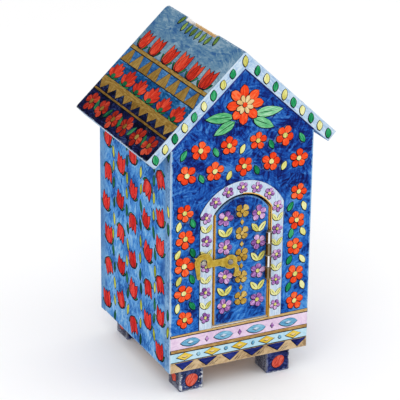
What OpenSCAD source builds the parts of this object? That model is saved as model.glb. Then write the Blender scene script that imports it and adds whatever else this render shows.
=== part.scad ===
// A house-shaped charity box of painted wood. Five boards make the body, two mitred boards make
// the gable roof with a coin slot cut over the ridge, and four blocks make the feet. An arched door
// in the front swings on a brass butt hinge and is held shut by a brass hook over a round-headed pin.
// Units are millimetres. +X is right seen from the front, +Y goes to the back and +Z is up.
// The origin is under the middle of the whole box, on the surface that the feet stand on.

/* [Body] */
// Width of the body across the front
body_w = 76; // [72:1:90]
// Depth of the body from front face to back face
body_d = 86; // [80:1:110]
// Thickness of every board, the roof boards too
board_t = 6; // [5:0.5:7]

/* [Roof] */
// Height of the ridge above the underside of the body
ridge_h = 160; // [150:1:180]
// Slope of the roof in degrees
roof_pitch = 43; // [38:1:46]
// How far each eave reaches past the side wall, level
eave_reach = 12.6; // [8:0.2:20]
// Length of the coin slot along the ridge
slot_l = 32; // [28:1:45]
// Width of the coin slot across the ridge
slot_w = 4.2; // [4.2:0.1:6]
// How far the middle of the coin slot lies to the right of the ridge
slot_shift = 0.7; // [0:0.1:1]
// How far the middle of the coin slot lies behind the middle of the roof
slot_back = 2.5; // [0:0.5:10]

/* [Feet] */
// Height of a foot
foot_h = 13.5; // [8:0.5:18]
// Width and depth of a foot
foot_w = 13; // [9:0.5:15]
// Distance of a foot from the side of the body
foot_in_x = 7.3; // [2:0.1:12]
// Distance of a foot from the front or back of the body
foot_in_y = 4.3; // [2:0.1:12]

/* [Door] */
// Width of the arched opening in the front board
arch_w = 30.8; // [28:0.2:34]
// Height of the sill above the underside of the body
sill_h = 21; // [18:0.2:26]
// Height where the straight jambs end and the arch starts
spring_h = 79.8; // [74:0.2:84]
// Rise of the arch above the jambs
arch_rise = 8.8; // [7:0.1:12]
// Gap between the door and the opening, all the way round
door_gap = 1.2; // [1.2:0.1:1.6]

/* [Hinge] */
// Length of the hinge barrel
hinge_l = 25; // [20:1:28]
// Height of the middle of the hinge
hinge_h = 55.2; // [48:0.1:60]
// Outer diameter of the barrel
barrel_d = 3; // [2.8:0.1:3.2]
// Diameter of the hinge pin
pin_d = 1.5; // [1.3:0.1:1.6]
// Thickness of a hinge leaf
leaf_t = 0.45; // [0.4:0.05:0.45]
// Depth of a hinge leaf behind the front face
leaf_d = 5.2; // [4.4:0.1:5.4]

/* [Latch] */
// Place of the hook's pivot, across from the middle of the box
pivot_x = -6.7; // [-8:0.1:-5]
// Height of the hook's pivot
pivot_h = 55.1; // [50:0.1:58]
// Distance from the pivot to the keeper pin, level
keeper_reach = 14.4; // [13.6:0.1:14.8]
// Height of the keeper pin above the pivot
keeper_rise = 1.8; // [1.2:0.1:1.8]
// Thickness of the hook
hook_t = 1; // [0.8:0.1:1.2]
// Thickness of the washer under the hook
washer_t = 0.6; // [0.5:0.1:0.8]

/* [Hidden] */
$fn = 96;
eps = 0.5; // how far a cutter passes the face that it cuts
lap = 0.01; // how far the two parts of the arch outline overlap

// Roof and walls
ridge_inside_h = ridge_h - board_t / cos(roof_pitch);
wall_h = ridge_inside_h - body_w / 2 * tan(roof_pitch);
eave_x = body_w / 2 + eave_reach;
eave_h = ridge_h - eave_x * tan(roof_pitch);
eave_low_x = eave_x - board_t * sin(roof_pitch);
eave_low_h = eave_h - board_t * cos(roof_pitch);
inside_w = body_w - 2 * board_t;
inside_d = body_d - 2 * board_t;

// Arch of the opening, and of the door inside it
arch_r = (sq(arch_w / 2) + sq(arch_rise)) / (2 * arch_rise);
arch_centre_h = spring_h + arch_rise - arch_r;
door_half_w = arch_w / 2 - door_gap;

// Hinge axis, in front of the face, so that the frame leaf runs into the barrel as a tangent
knuckles = 4;
knuckle_gap = 0.3;
knuckle_l = hinge_l / knuckles;
pin_x = arch_w / 2 - barrel_d / 2;
barrel_clear = 0.1; // between the barrel and the front face
pin_y = -barrel_d / 2 - barrel_clear;
pin_run = 0.05; // radial play of the pin in the door leaf
pin_head_lip = 0.3;
pin_head_r = pin_d / 2 + pin_head_lip;
pin_head_t = 0.4;
nail_r = 0.5;
nail_head_r = 0.95;
nail_head_t = 0.28;
nail_l = 6;
nail_y = 2.9;
nail_dz = 7.5;

// Hook outline, measured from its pivot
boss_r = 3.7;
pivot_r = 1;
pivot_run = 0.05; // play of the hook around its screw and between washer and head
hook_back = -washer_t - pivot_run;
crown_x = -keeper_reach;
keeper_play = 0.1; // between the middle of the throat and the pin at rest
crown_z = keeper_rise + keeper_play;
throat_r = 1.8;
throat_splay = 0.5;
crown_r = 4.8;
shoulder_rise = 0.7;
arm_root = 2.9; // half the height of the arm inside the boss
arm_waist_x = -5.6;
arm_waist_top = 2.4;
arm_waist_low = -1;
leg_low = -1.2; // lower end of the crown's leg beside the arm
sink = 0.4; // how far pieces of the hook reach into each other
tine_tip_r = 0.8;
tine_tip_x = crown_x - throat_r - tine_tip_r;
tine_tip_z = -5.8;
spur_reach = 6.4;
spur_angle = 146;
spur_half = 16;

// Tail of the hook, with its width, its outer edge, the levels of its bends and its toe
tail_w = 2.3;
tail_x = 4.7;
tail_root_in = [1.6, -2.4];
tail_root_out = [3.2, -1];
tail_top_out = -3.2;
tail_top_in = -3.8;
tail_low_out = -5.8;
tail_low_in = -5.8;
toe_out = [3, -8.5];
toe_in = [1.8, -7.9];

// Screw and pin heads
screw_head_r = 1.5;
screw_head_h = 0.9;
screw_l = 5;
keeper_shank_r = 0.7;
keeper_head_r = 1.3;
keeper_head_h = 0.8;
keeper_l = 4.6;
washer_r = 2.2;

// The barrel is what stands furthest out of the front face
front_proud = barrel_d / 2 - pin_y;
front_y = -body_d / 2 + front_proud / 2;

function sq(v) = v * v;
function arch_top_at(x, r) = arch_centre_h + sqrt(sq(r) - sq(x));
function knuckle_z(i) = hinge_h + hinge_l / 2 - (i + 1) * knuckle_l + knuckle_gap / 2;

wood_blue = [0.13, 0.29, 0.62];
side_blue = [0.28, 0.51, 0.78];
roof_navy = [0.2, 0.3, 0.5];
foot_navy = [0.12, 0.13, 0.35];
bare_wood = [0.78, 0.6, 0.36];
brass = [0.78, 0.63, 0.25];
steel = [0.6, 0.6, 0.62];

// Puts its children in the frame of the front face: X right, Y into the box, Z up from the
// underside of the body
module at_front() translate([0, front_y, foot_h]) children();

// Stretches an outline drawn in X and Z along Y
module along_y(y0, y1)
    translate([0, y1, 0]) rotate([90, 0, 0]) linear_extrude(height = y1 - y0) children();

// A round bar along Y
module rod_y(x, z, r, y0, y1)
    translate([x, y1, z]) rotate([90, 0, 0]) cylinder(h = y1 - y0, r = r);

// A round bar along X, in either direction
module rod_x(y, z, r, x0, x1)
    translate([min(x0, x1), y, z]) rotate([0, 90, 0]) cylinder(h = abs(x1 - x0), r = r);

// A shallow round head on a flat seat at y0, with its crown towards the front
module dome_head(x, z, r, h, y0) {
    ball_r = (sq(r) + sq(h)) / (2 * h);
    translate([x, y0, z]) rotate([90, 0, 0]) rotate_extrude()
        intersection() {
            translate([0, h - ball_r]) circle(r = ball_r);
            square([r, h]);
        }
}

// Outline of the gable boards, up to the underside of the roof
module gable_outline()
    polygon([
        [-body_w / 2, 0], [body_w / 2, 0], [body_w / 2, wall_h],
        [0, ridge_inside_h], [-body_w / 2, wall_h]
    ]);

// Outline of the arched opening, drawn in by the given margin on every side
module arch_outline(margin) {
    half = arch_w / 2 - margin;
    r = arch_r - margin;
    spring = arch_top_at(half, r);
    translate([-half, sill_h + margin]) square([2 * half, spring - sill_h - margin]);
    intersection() {
        translate([0, arch_centre_h]) circle(r = r);
        translate([-half, spring - lap]) square([2 * half, r]);
    }
}

// Outline of one side wall, whose top follows the slope of the roof
module wall_outline()
    polygon([
        [-body_w / 2, 0], [-inside_w / 2, 0],
        [-inside_w / 2, wall_h + board_t * tan(roof_pitch)], [-body_w / 2, wall_h]
    ]);

// Outline of the left roof board, mitred at the ridge and square at the eave
module roof_outline()
    polygon([
        [0, ridge_h], [-eave_x, eave_h], [-eave_low_x, eave_low_h], [0, ridge_inside_h]
    ]);

// The two nail places of a hinge leaf
module at_hinge_nails()
    for (dz = [-nail_dz, nail_dz]) translate([0, nail_y, hinge_h + dz]) children();

// Pilot holes for the nails of one hinge leaf, from a board's edge at x in the given direction
module nail_pilots(x, side)
    at_hinge_nails() rod_x(0, 0, nail_r, x, x + side * nail_l);

module front_board() color(wood_blue) at_front() difference() {
    along_y(0, board_t) gable_outline();
    along_y(-eps, board_t + eps) arch_outline(0);
    nail_pilots(arch_w / 2 - leaf_t, 1);
    rod_y(pivot_x - keeper_reach, pivot_h + keeper_rise, keeper_shank_r, -eps, keeper_l);
}

module back_board() color(side_blue) at_front()
    along_y(body_d - board_t, body_d) gable_outline();

module left_wall() color(side_blue) at_front()
    along_y(board_t, body_d - board_t) wall_outline();

module right_wall() color(side_blue) at_front()
    along_y(board_t, body_d - board_t) mirror([1, 0]) wall_outline();

module floor_board() color(bare_wood) at_front()
    translate([-inside_w / 2, board_t, 0]) cube([inside_w, inside_d, board_t]);

// A left roof board with its share of the coin slot, whose middle lies at slot_x
module roof_board(slot_x) difference() {
    along_y(0, body_d) roof_outline();
    translate([slot_x - slot_w / 2, (body_d - slot_l) / 2 + slot_back, ridge_inside_h - slot_w])
        cube([slot_w, slot_l, ridge_h]);
}

module roof_left() color(roof_navy) at_front() roof_board(slot_shift);

module roof_right() color(roof_navy) at_front() mirror([1, 0, 0]) roof_board(-slot_shift);

// A foot in the corner that sx and sy choose, -1 for left or front and 1 for right or back
module foot(sx, sy) {
    x = sx * (body_w / 2 - foot_in_x - foot_w / 2);
    y = front_y + body_d / 2 + sy * (body_d / 2 - foot_in_y - foot_w / 2);
    color(foot_navy) translate([x - foot_w / 2, y - foot_w / 2, 0]) cube([foot_w, foot_w, foot_h]);
}

module foot_front_left() foot(-1, -1);
module foot_front_right() foot(1, -1);
module foot_back_left() foot(-1, 1);
module foot_back_right() foot(1, 1);

module door() color(wood_blue) at_front() difference() {
    along_y(0, board_t) arch_outline(door_gap);
    nail_pilots(door_half_w + leaf_t, -1);
    rod_y(pivot_x, pivot_h, pivot_r, -eps, screw_l);
}

// Ring of one knuckle, counted from the top
module knuckle(i, bore_r)
    translate([pin_x, pin_y, knuckle_z(i)]) difference() {
        cylinder(h = knuckle_l - knuckle_gap, r = barrel_d / 2);
        translate([0, 0, -eps]) cylinder(h = knuckle_l + eps * 2, r = bore_r);
    }

// A hinge leaf: its plate in the gap beside x0, its knuckles, and the webs that join them.
// The nail heads sink into the face that is turned to the other leaf.
module hinge_leaf(x0, own, bore_r, web_y, head_x) difference() {
    union() {
        translate([x0, 0, hinge_h - hinge_l / 2]) cube([leaf_t, leaf_d, hinge_l]);
        for (i = own) {
            translate([x0, web_y, knuckle_z(i)])
                cube([leaf_t, eps - web_y, knuckle_l - knuckle_gap]);
            knuckle(i, bore_r);
        }
    }
    at_hinge_nails() {
        rod_x(0, 0, nail_r, x0 - eps, x0 + leaf_t + eps);
        rod_x(0, 0, nail_head_r, head_x, head_x + nail_head_t);
    }
}

module hinge_frame_leaf() color(brass) at_front()
    hinge_leaf(arch_w / 2 - leaf_t, [1, 3], pin_d / 2, pin_y, arch_w / 2 - leaf_t);

module hinge_door_leaf() color(brass) at_front()
    hinge_leaf(door_half_w, [0, 2], pin_d / 2 + pin_run, pin_y + barrel_d / 3,
        door_half_w + leaf_t - nail_head_t);

module hinge_pin() color(brass) at_front() translate([pin_x, pin_y, hinge_h]) {
    translate([0, 0, -hinge_l / 2]) cylinder(h = hinge_l, r = pin_d / 2);
    for (end = [0, 1]) mirror([0, 0, end])
        translate([0, 0, hinge_l / 2]) cylinder(h = pin_head_t, r = pin_head_r);
}

// A nail that points along X from its head at x
module hinge_nail(x, side) {
    rod_x(0, 0, nail_head_r, x, x + side * nail_head_t);
    rod_x(0, 0, nail_r, x, x + side * nail_l);
}

module hinge_frame_nails() color(brass) at_front()
    at_hinge_nails() hinge_nail(arch_w / 2 - leaf_t, 1);

module hinge_door_nails() color(brass) at_front()
    at_hinge_nails() hinge_nail(door_half_w + leaf_t, -1);

// Every piece of the hook is cut from one sheet
module hook_sheet() along_y(hook_back - hook_t, hook_back) children();

module hook_arm()
    polygon([
        [0, arm_root], [arm_waist_x, arm_waist_top],
        [crown_x + crown_r - sink, crown_z + shoulder_rise],
        [crown_x + throat_r - sink / 2, crown_z + sink], [crown_x + throat_r - sink / 2, crown_z],
        [crown_x + throat_r + throat_splay, leg_low], [arm_waist_x, arm_waist_low],
        [0, -arm_root]
    ]);

// The arch over the keeper pin
module hook_crown()
    translate([crown_x, crown_z]) intersection() {
        circle(r = crown_r);
        translate([-crown_r, 0]) square([2 * crown_r, crown_r]);
    }

// The thumb spur on the crown
module hook_spur() {
    root_r = (crown_r + throat_r) / 2;
    translate([crown_x, crown_z])
        polygon([
            root_r * [cos(spur_angle - spur_half), sin(spur_angle - spur_half)],
            spur_reach * [cos(spur_angle), sin(spur_angle)],
            root_r * [cos(spur_angle + spur_half), sin(spur_angle + spur_half)]
        ]);
}

// The tine that hangs beside the keeper pin
module hook_tine()
    polygon([
        [crown_x - throat_r, crown_z + sink], [crown_x - crown_r + sink / 2, crown_z + sink],
        [crown_x - crown_r, crown_z], [tine_tip_x - tine_tip_r, tine_tip_z],
        [tine_tip_x + tine_tip_r, tine_tip_z], [crown_x - throat_r, crown_z]
    ]);

// The tail under the boss, with its bent toe
module hook_tail()
    polygon([
        tail_root_in, tail_root_out, [tail_x, tail_top_out], [tail_x, tail_low_out], toe_out, toe_in,
        [tail_x - tail_w, tail_low_in], [tail_x - tail_w, tail_top_in]
    ]);

module latch_hook() color(brass) at_front() translate([pivot_x, 0, pivot_h]) difference() {
    union() {
        hook_sheet() circle(r = boss_r);
        hook_sheet() hook_arm();
        hook_sheet() hook_crown();
        hook_sheet() hook_spur();
        hook_sheet() hook_tine();
        hook_sheet() translate([tine_tip_x, tine_tip_z]) circle(r = tine_tip_r);
        hook_sheet() hook_tail();
    }
    rod_y(crown_x, crown_z, throat_r, -board_t, board_t);
    rod_y(0, 0, pivot_r + pivot_run, -board_t, board_t);
}

module latch_washer() color(brass) at_front() translate([pivot_x, 0, pivot_h])
    along_y(-washer_t, 0) difference() {
        circle(r = washer_r);
        circle(r = pivot_r + pivot_run);
    }

module latch_pivot_screw() color(steel) at_front() {
    seat = hook_back - hook_t - pivot_run;
    rod_y(pivot_x, pivot_h, pivot_r, seat, screw_l);
    dome_head(pivot_x, pivot_h, screw_head_r, screw_head_h, seat);
}

module latch_keeper_pin() color(steel) at_front() {
    x = pivot_x - keeper_reach;
    z = pivot_h + keeper_rise;
    seat = hook_back - hook_t;
    rod_y(x, z, keeper_shank_r, seat, keeper_l);
    dome_head(x, z, keeper_head_r, keeper_head_h, seat);
}

front_board();
back_board();
left_wall();
right_wall();
floor_board();
roof_left();
roof_right();
foot_front_left();
foot_front_right();
foot_back_left();
foot_back_right();
door();
hinge_frame_leaf();
hinge_door_leaf();
hinge_pin();
hinge_frame_nails();
hinge_door_nails();
latch_hook();
latch_washer();
latch_pivot_screw();
latch_keeper_pin();
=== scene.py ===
# %% [markdown]
# A painted charity box
# The box is a little house of thin boards: four walls, a floor and a gable roof with a coin slot
# cut over its ridge. An arched door in the front swings on a brass hinge, and a brass hook holds
# it shut. The CAD model gives every piece its place and size. This lesson gives each of them
# soft edges, a brushed coat of paint or a metal finish, and a painting of flowers and borders.

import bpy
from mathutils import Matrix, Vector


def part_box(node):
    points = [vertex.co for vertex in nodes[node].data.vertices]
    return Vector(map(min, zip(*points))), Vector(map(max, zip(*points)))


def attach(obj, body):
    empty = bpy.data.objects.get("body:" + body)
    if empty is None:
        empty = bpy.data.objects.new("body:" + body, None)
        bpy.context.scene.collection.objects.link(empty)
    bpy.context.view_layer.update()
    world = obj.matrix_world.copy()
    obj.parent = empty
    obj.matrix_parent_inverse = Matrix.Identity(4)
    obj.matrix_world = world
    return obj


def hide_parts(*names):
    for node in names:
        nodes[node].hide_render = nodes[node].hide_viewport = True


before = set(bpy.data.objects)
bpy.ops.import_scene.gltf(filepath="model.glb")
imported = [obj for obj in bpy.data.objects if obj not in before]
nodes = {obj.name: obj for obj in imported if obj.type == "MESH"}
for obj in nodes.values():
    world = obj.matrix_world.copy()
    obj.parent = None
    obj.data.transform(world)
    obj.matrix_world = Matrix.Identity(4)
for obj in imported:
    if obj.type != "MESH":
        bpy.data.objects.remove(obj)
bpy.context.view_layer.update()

# %% [markdown]
# Measuring the boards
# Sizes could be typed in again, but then they would drift when the model changes. So the few
# sizes that the painting needs are read from the CAD pieces. Paint is planned in millimetres,
# because that is how a person would plan it with a ruler.

# %% Read the sizes
import math
import random

import bmesh
import bpy
import numpy as np
from mathutils import Matrix, Vector
from mathutils.kdtree import KDTree

MM = 0.001
CLOSE = 0.01  # millimetres: measures that differ by less are the same
front_low, front_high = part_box("front_board")
back_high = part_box("back_board")[1]
wall_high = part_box("left_wall")[1]
roof_low, roof_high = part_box("roof_left")
door_low, door_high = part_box("door")

base = front_low.z
thick = (front_high.y - front_low.y) / MM
half_w = front_high.x / MM
depth = (back_high.y - front_low.y) / MM
apex_h = (front_high.z - base) / MM
ridge_h = (roof_high.z - base) / MM
eave_x = -roof_low.x / MM
pitch = math.acos(thick / (ridge_h - apex_h))
slope_l = eave_x / math.cos(pitch)
wall_h = (wall_high.z - base) / MM - thick * math.tan(pitch)
foot_h = base / MM
print(f"body {2 * half_w:.1f} x {depth:.1f} mm, walls {wall_h:.1f} mm high")
print(f"roof at {math.degrees(pitch):.1f} degrees")

# %% Read the arched opening
opening_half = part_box("hinge_frame_leaf")[1].x / MM
door_gap = opening_half - door_high.x / MM
sill_h = (door_low.z - base) / MM - door_gap
arch_top = (door_high.z - base) / MM + door_gap
jamb_tops = [v.co.z for v in nodes["front_board"].data.vertices
             if abs(v.co.x / MM - opening_half) < CLOSE]
spring_h = (max(jamb_tops) - base) / MM
arch_rise = arch_top - spring_h
arch_r = (opening_half ** 2 + arch_rise ** 2) / (2 * arch_rise)
print(f"opening {2 * opening_half:.1f} mm wide, sill {sill_h:.1f}, spring {spring_h:.1f}, top {arch_top:.1f}")

# %% [markdown]
# Panels to paint on
# Each flat side of the box gets a frame of its own: u runs to the right, v runs up and the third
# direction points out of the wood, as seen by someone who stands in front of that side. A motif
# is then drawn once in u and v, and any panel can carry it.

# %% Name the panels
class Panel:
    """A flat side of the box, with places on it in millimetres."""

    def __init__(self, origin, right, up):
        self.origin = Vector(origin)
        self.right = Vector(right)
        self.up = Vector(up)
        self.out = self.right.cross(self.up)

    def at(self, u, v, lift=0.0):
        return self.origin + MM * (u * self.right + v * self.up + lift * self.out)

    def spot(self, place):
        """The u, v and lift of a place."""
        away = (place - self.origin) / MM
        return (away.dot(self.right), away.dot(self.up), away.dot(self.out))


PAINT_ROOM = 0.35  # the back is drawn in by this much, so that its paint stays inside the CAD box
mid_y = (front_low.y + back_high.y) / 2
slope = Vector((math.cos(pitch), 0, math.sin(pitch)))
FRONT = Panel((0, front_low.y, base), (1, 0, 0), (0, 0, 1))
BACK = Panel((0, back_high.y - PAINT_ROOM * MM, base), (-1, 0, 0), (0, 0, 1))
LEFT = Panel((front_low.x, mid_y, base), (0, -1, 0), (0, 0, 1))
RIGHT = Panel((front_high.x, mid_y, base), (0, 1, 0), (0, 0, 1))
ROOF_LEFT = Panel((0, mid_y, roof_high.z), (0, -1, 0), slope)
ROOF_RIGHT = Panel((0, mid_y, roof_high.z), (0, 1, 0), (-slope.x, 0, slope.z))
print("roof panels face", ROOF_LEFT.out[:], "and", ROOF_RIGHT.out[:])

# %% [markdown]
# Camera
# The photograph looks at the front and the left side from a little above, through a long lens.
# The camera stands on a sphere around a point in the middle of the box. A long lens far away
# keeps the upright edges nearly parallel, which a short lens close by would not.

# %% Set up the camera
VIEW_AZIMUTH = math.radians(-26.08)
VIEW_ELEVATION = math.radians(21.94)
VIEW_ROLL = math.radians(0.70)
VIEW_DISTANCE = 0.950
VIEW_TARGET = Vector((-0.0025, 0, 0.0843))
LENS = 171.05
SENSOR = 36

back = Vector((
    math.sin(VIEW_AZIMUTH) * math.cos(VIEW_ELEVATION),
    -math.cos(VIEW_AZIMUTH) * math.cos(VIEW_ELEVATION),
    math.sin(VIEW_ELEVATION),
))
level_right = Vector((0, 0, 1)).cross(back).normalized()
level_up = back.cross(level_right)
right = level_right * math.cos(VIEW_ROLL) + level_up * math.sin(VIEW_ROLL)
up = back.cross(right)
camera_data = bpy.data.cameras.new("photo_camera")
camera_data.lens = LENS
camera_data.sensor_width = SENSOR
camera = bpy.data.objects.new("photo_camera", camera_data)
camera.matrix_world = Matrix((right, up, back)).transposed().to_4x4()
camera.location = VIEW_TARGET + back * VIEW_DISTANCE
bpy.context.scene.collection.objects.link(camera)
bpy.context.scene.camera = camera
print("camera at", [round(x, 4) for x in camera.location])

# %% [markdown]
# Light and floor
# Product pictures of this kind are lit from all round, so that paint shows its own colour. A white
# sky does most of that. One large lamp at the upper left adds a soft direction, and a weaker one
# on the right keeps the far edges from going dull. The floor is plain and nearly white.

# %% Light the scene
SKY = 0.97
scene = bpy.context.scene
scene.view_settings.view_transform = "Standard"
world = bpy.data.worlds.new("white_sky")
world.use_nodes = True
world.node_tree.nodes["Background"].inputs["Color"].default_value = (1, 1, 1, 1)
world.node_tree.nodes["Background"].inputs["Strength"].default_value = SKY
scene.world = world


def soft_lamp(name, place, size, watts):
    """A square softbox that faces the middle of the box."""
    lamp_data = bpy.data.lights.new(name, "AREA")
    lamp_data.energy = watts
    lamp_data.size = size
    lamp = bpy.data.objects.new(name, lamp_data)
    lamp.location = place
    lamp.rotation_euler = (VIEW_TARGET - lamp.location).to_track_quat("-Z", "Y").to_euler()
    scene.collection.objects.link(lamp)
    return lamp


key = soft_lamp("key_softbox", (-0.55, -0.75, 0.95), 0.7, 3.6)
fill = soft_lamp("fill_softbox", (0.9, -0.7, 0.5), 0.8, 1.4)
print("lamps", key.data.energy, fill.data.energy, "watts")

# %% [markdown]
# Nodes by the handful
# Materials are built from nodes. A few short helpers keep that readable: one adds a node and
# fills its sockets, others mix colours, make noise or a colour ramp. Colours are written as
# the 0 to 255 values that a picture shows and turned into the linear values that Blender wants.
# The white sky and floor light a board a little more than fully, so each is taken down a share.

# %% Helpers for materials
PAINT_SHARE = 0.80  # of the brightness that a paint has in the picture


def colour(red, green, blue):
    """A colour as Blender stores it, from the values that the picture shows."""
    def linear(value):
        share = value / 255
        return PAINT_SHARE * (share / 12.92 if share <= 0.04045 else ((share + 0.055) / 1.055) ** 2.4)
    return (linear(red), linear(green), linear(blue), 1.0)


def add(tree, kind, sockets=None, **settings):
    """Adds a node. A socket takes a plain value, or another node's output as a link."""
    made = tree.nodes.new(kind)
    for name, value in settings.items():
        setattr(made, name, value)
    for name, value in (sockets or {}).items():
        if isinstance(value, bpy.types.NodeSocket):
            tree.links.new(value, made.inputs[name])
        else:
            made.inputs[name].default_value = value
    return made


def math_node(tree, operation, first, second=0.0):
    return add(tree, "ShaderNodeMath", {0: first, 1: second}, operation=operation).outputs[0]


def vector_node(tree, operation, first, second=None, scale=1.0):
    sockets = {"Scale": scale} if operation == "SCALE" else {1: second}
    return add(tree, "ShaderNodeVectorMath", {0: first, **sockets}, operation=operation).outputs[0]


def triple(tree, x, y, z):
    """Three values as one vector."""
    return add(tree, "ShaderNodeCombineXYZ", {"X": x, "Y": y, "Z": z}).outputs[0]


def mix(tree, share, first, second):
    """Mixes two colours."""
    return add(tree, "ShaderNodeMix", {0: share, 6: first, 7: second}, data_type="RGBA").outputs[2]


def blend(tree, share, first, second):
    """Mixes two plain values."""
    return add(tree, "ShaderNodeMix", {0: share, 2: first, 3: second}).outputs[0]


def noise(tree, place, scale=1.0, detail=2.0, rough=0.5, **more):
    """Soft noise about one half."""
    return add(tree, "ShaderNodeTexNoise", {
        "Vector": place, "Scale": scale, "Detail": detail, "Roughness": rough, **more}).outputs[0]


def weigh(tree, value, weight):
    """A value's distance from one half, times a weight."""
    return math_node(tree, "MULTIPLY", math_node(tree, "SUBTRACT", value, 0.5), weight)


def spread(tree, value, low, high, to_low=0.0, to_high=1.0):
    """Stretches a value from one range to another, with soft ends."""
    return add(tree, "ShaderNodeMapRange", {
        "Value": value, "From Min": low, "From Max": high, "To Min": to_low, "To Max": to_high,
    }, interpolation_type="SMOOTHSTEP").outputs[0]


def ramp(tree, value, tones, reach=(0.32, 0.68)):
    """A colour ramp with its tones spaced evenly over the middle of a noise's range."""
    made = add(tree, "ShaderNodeValToRGB", {0: value})
    stops = made.color_ramp.elements
    while len(stops) < len(tones):
        stops.new(0.5)
    for index, tone in enumerate(tones):
        stops[index].position = reach[0] + (reach[1] - reach[0]) * index / (len(tones) - 1)
        stops[index].color = tone
    return made.outputs[0]


def tinted(tree, value, tones):
    """A ramp of tones as the picture shows them, from dark to pale."""
    return ramp(tree, value, [colour(*tone) for tone in tones])


print("the front's blue is", [round(x, 3) for x in colour(30, 70, 160)])

# %% Helpers for node groups and whole materials
def make_group(name, inputs, outputs, build):
    """A shader node group with named values. build(tree, given) makes its nodes and returns its outputs."""
    group = bpy.data.node_groups.new(name, "ShaderNodeTree")
    for sockets, way in ((inputs, "INPUT"), (outputs, "OUTPUT")):
        for socket in sockets:
            group.interface.new_socket(socket, in_out=way, socket_type="NodeSocketFloat")
    add(group, "NodeGroupOutput", build(group, add(group, "NodeGroupInput").outputs))
    print("group", name, "has", len(group.nodes), "nodes")
    return group


def place_group(tree, group, sockets):
    return add(tree, "ShaderNodeGroup", sockets, node_tree=group).outputs


def start_material(name, **surface):
    """A material with one Principled shader, whose plain values are set on its own sockets."""
    material = bpy.data.materials.new(name)
    material.use_nodes = True
    tree = material.node_tree
    shader = tree.nodes["Principled BSDF"]
    for socket, value in surface.items():
        shader.inputs[socket.replace("_", " ")].default_value = value
    return material, tree, shader


def own_place(tree):
    """Where a point lies on its own piece, in millimetres, so that paint moves with the piece."""
    place = add(tree, "ShaderNodeTexCoord").outputs["Object"]
    return vector_node(tree, "SCALE", place, scale=1 / MM)


def carried(tree, name, output="Fac"):
    """A value that the mesh carries at its vertices."""
    return add(tree, "ShaderNodeAttribute", attribute_name=name).outputs[output]


def carried_parts(tree, name):
    """The X, Y and Z of a vector that the mesh carries."""
    return add(tree, "ShaderNodeSeparateXYZ", {"Vector": carried(tree, name, "Vector")}).outputs


def bump(tree, height, strength, depth_mm):
    return add(tree, "ShaderNodeBump", {
        "Height": height, "Strength": strength, "Distance": depth_mm * MM,
    }).outputs[0]


def join(tree, shader, **sources):
    """Links outputs to a shader's sockets by their names."""
    for socket, source in sources.items():
        tree.links.new(source, shader.inputs[socket.replace("_", " ")])


def cover(tree, shader, coat, lines, rough, strength, depth_mm):
    """Joins a coat to a shader. The same lines make it uneven to the light and to the touch."""
    join(tree, shader, Base_Color=coat, Roughness=spread(tree, lines, 0.3, 0.7, *rough),
         Normal=bump(tree, lines, strength, depth_mm))


print("material helpers ready")

# %% [markdown]
# Brush strokes
# The ground is laid on by hand with a small brush, a patch at a time, and every patch has its own
# direction and its own load of paint. A Voronoi texture makes the patches: its random colour turns
# the strokes of each patch and sets its tone. Stretched noise makes the strokes themselves. Two
# such layers lie over each other, because one alone shows its borders. Close to a motif the strokes
# run round it, so there the noise follows the distance that the mesh carries.

# %% One layer of brush strokes
PATCH = 8.0  # size of a patch of strokes, in millimetres
RAGGED = 2.5  # how far the border of a patch wanders
APART = 40.0  # moves the noise of a patch away from that of its neighbours


def stroke_layer(tree, spot, shift, given):
    """Patches of parallel strokes: the streaks, the load of each patch and the stretched places."""
    moved = vector_node(tree, "ADD", spot, (shift, 1.7 * shift, 0.0))
    sway = add(tree, "ShaderNodeTexNoise", {"Vector": moved, "Scale": 0.2, "Detail": 2.0}).outputs["Color"]
    ragged = vector_node(tree, "ADD", moved, vector_node(tree, "SCALE", sway, scale=RAGGED))
    patch = add(tree, "ShaderNodeTexVoronoi", {"Vector": ragged, "Scale": 1 / PATCH}).outputs["Color"]
    chance = add(tree, "ShaderNodeSeparateColor", {"Color": patch}).outputs
    angle = math_node(tree, "ADD", given["Turn"], weigh(tree, chance["Red"], given["Fan"]))
    turned_place = add(tree, "ShaderNodeVectorRotate", {"Vector": ragged, "Angle": angle},
                       rotation_type="Z_AXIS").outputs[0]
    size = triple(tree, given["Length"], given["Width"], given["Width"])
    stretched = vector_node(tree, "ADD", vector_node(tree, "DIVIDE", turned_place, size),
                            vector_node(tree, "SCALE", patch, scale=APART))
    return noise(tree, stretched, detail=3.0, rough=0.6), chance["Green"], stretched


print("patches of", PATCH, "mm")

# %% Group for brush strokes
CLOUD = 15.0  # size of the soft light and dark zones, in millimetres
NEAR_MOTIF = (0.6, 4.0)  # between these distances from a motif the strokes stop following it
FOLLOW = 0.3  # how much they follow it close by
CONTRAST = 1.5  # of the strokes
BRISTLES = (1.0, 3.5, 3.5)  # how much finer than a stroke the lines of single bristles are


def half_way(tree, first, second):
    """The mean of two values."""
    return math_node(tree, "MULTIPLY", math_node(tree, "ADD", first, second), 0.5)


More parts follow.
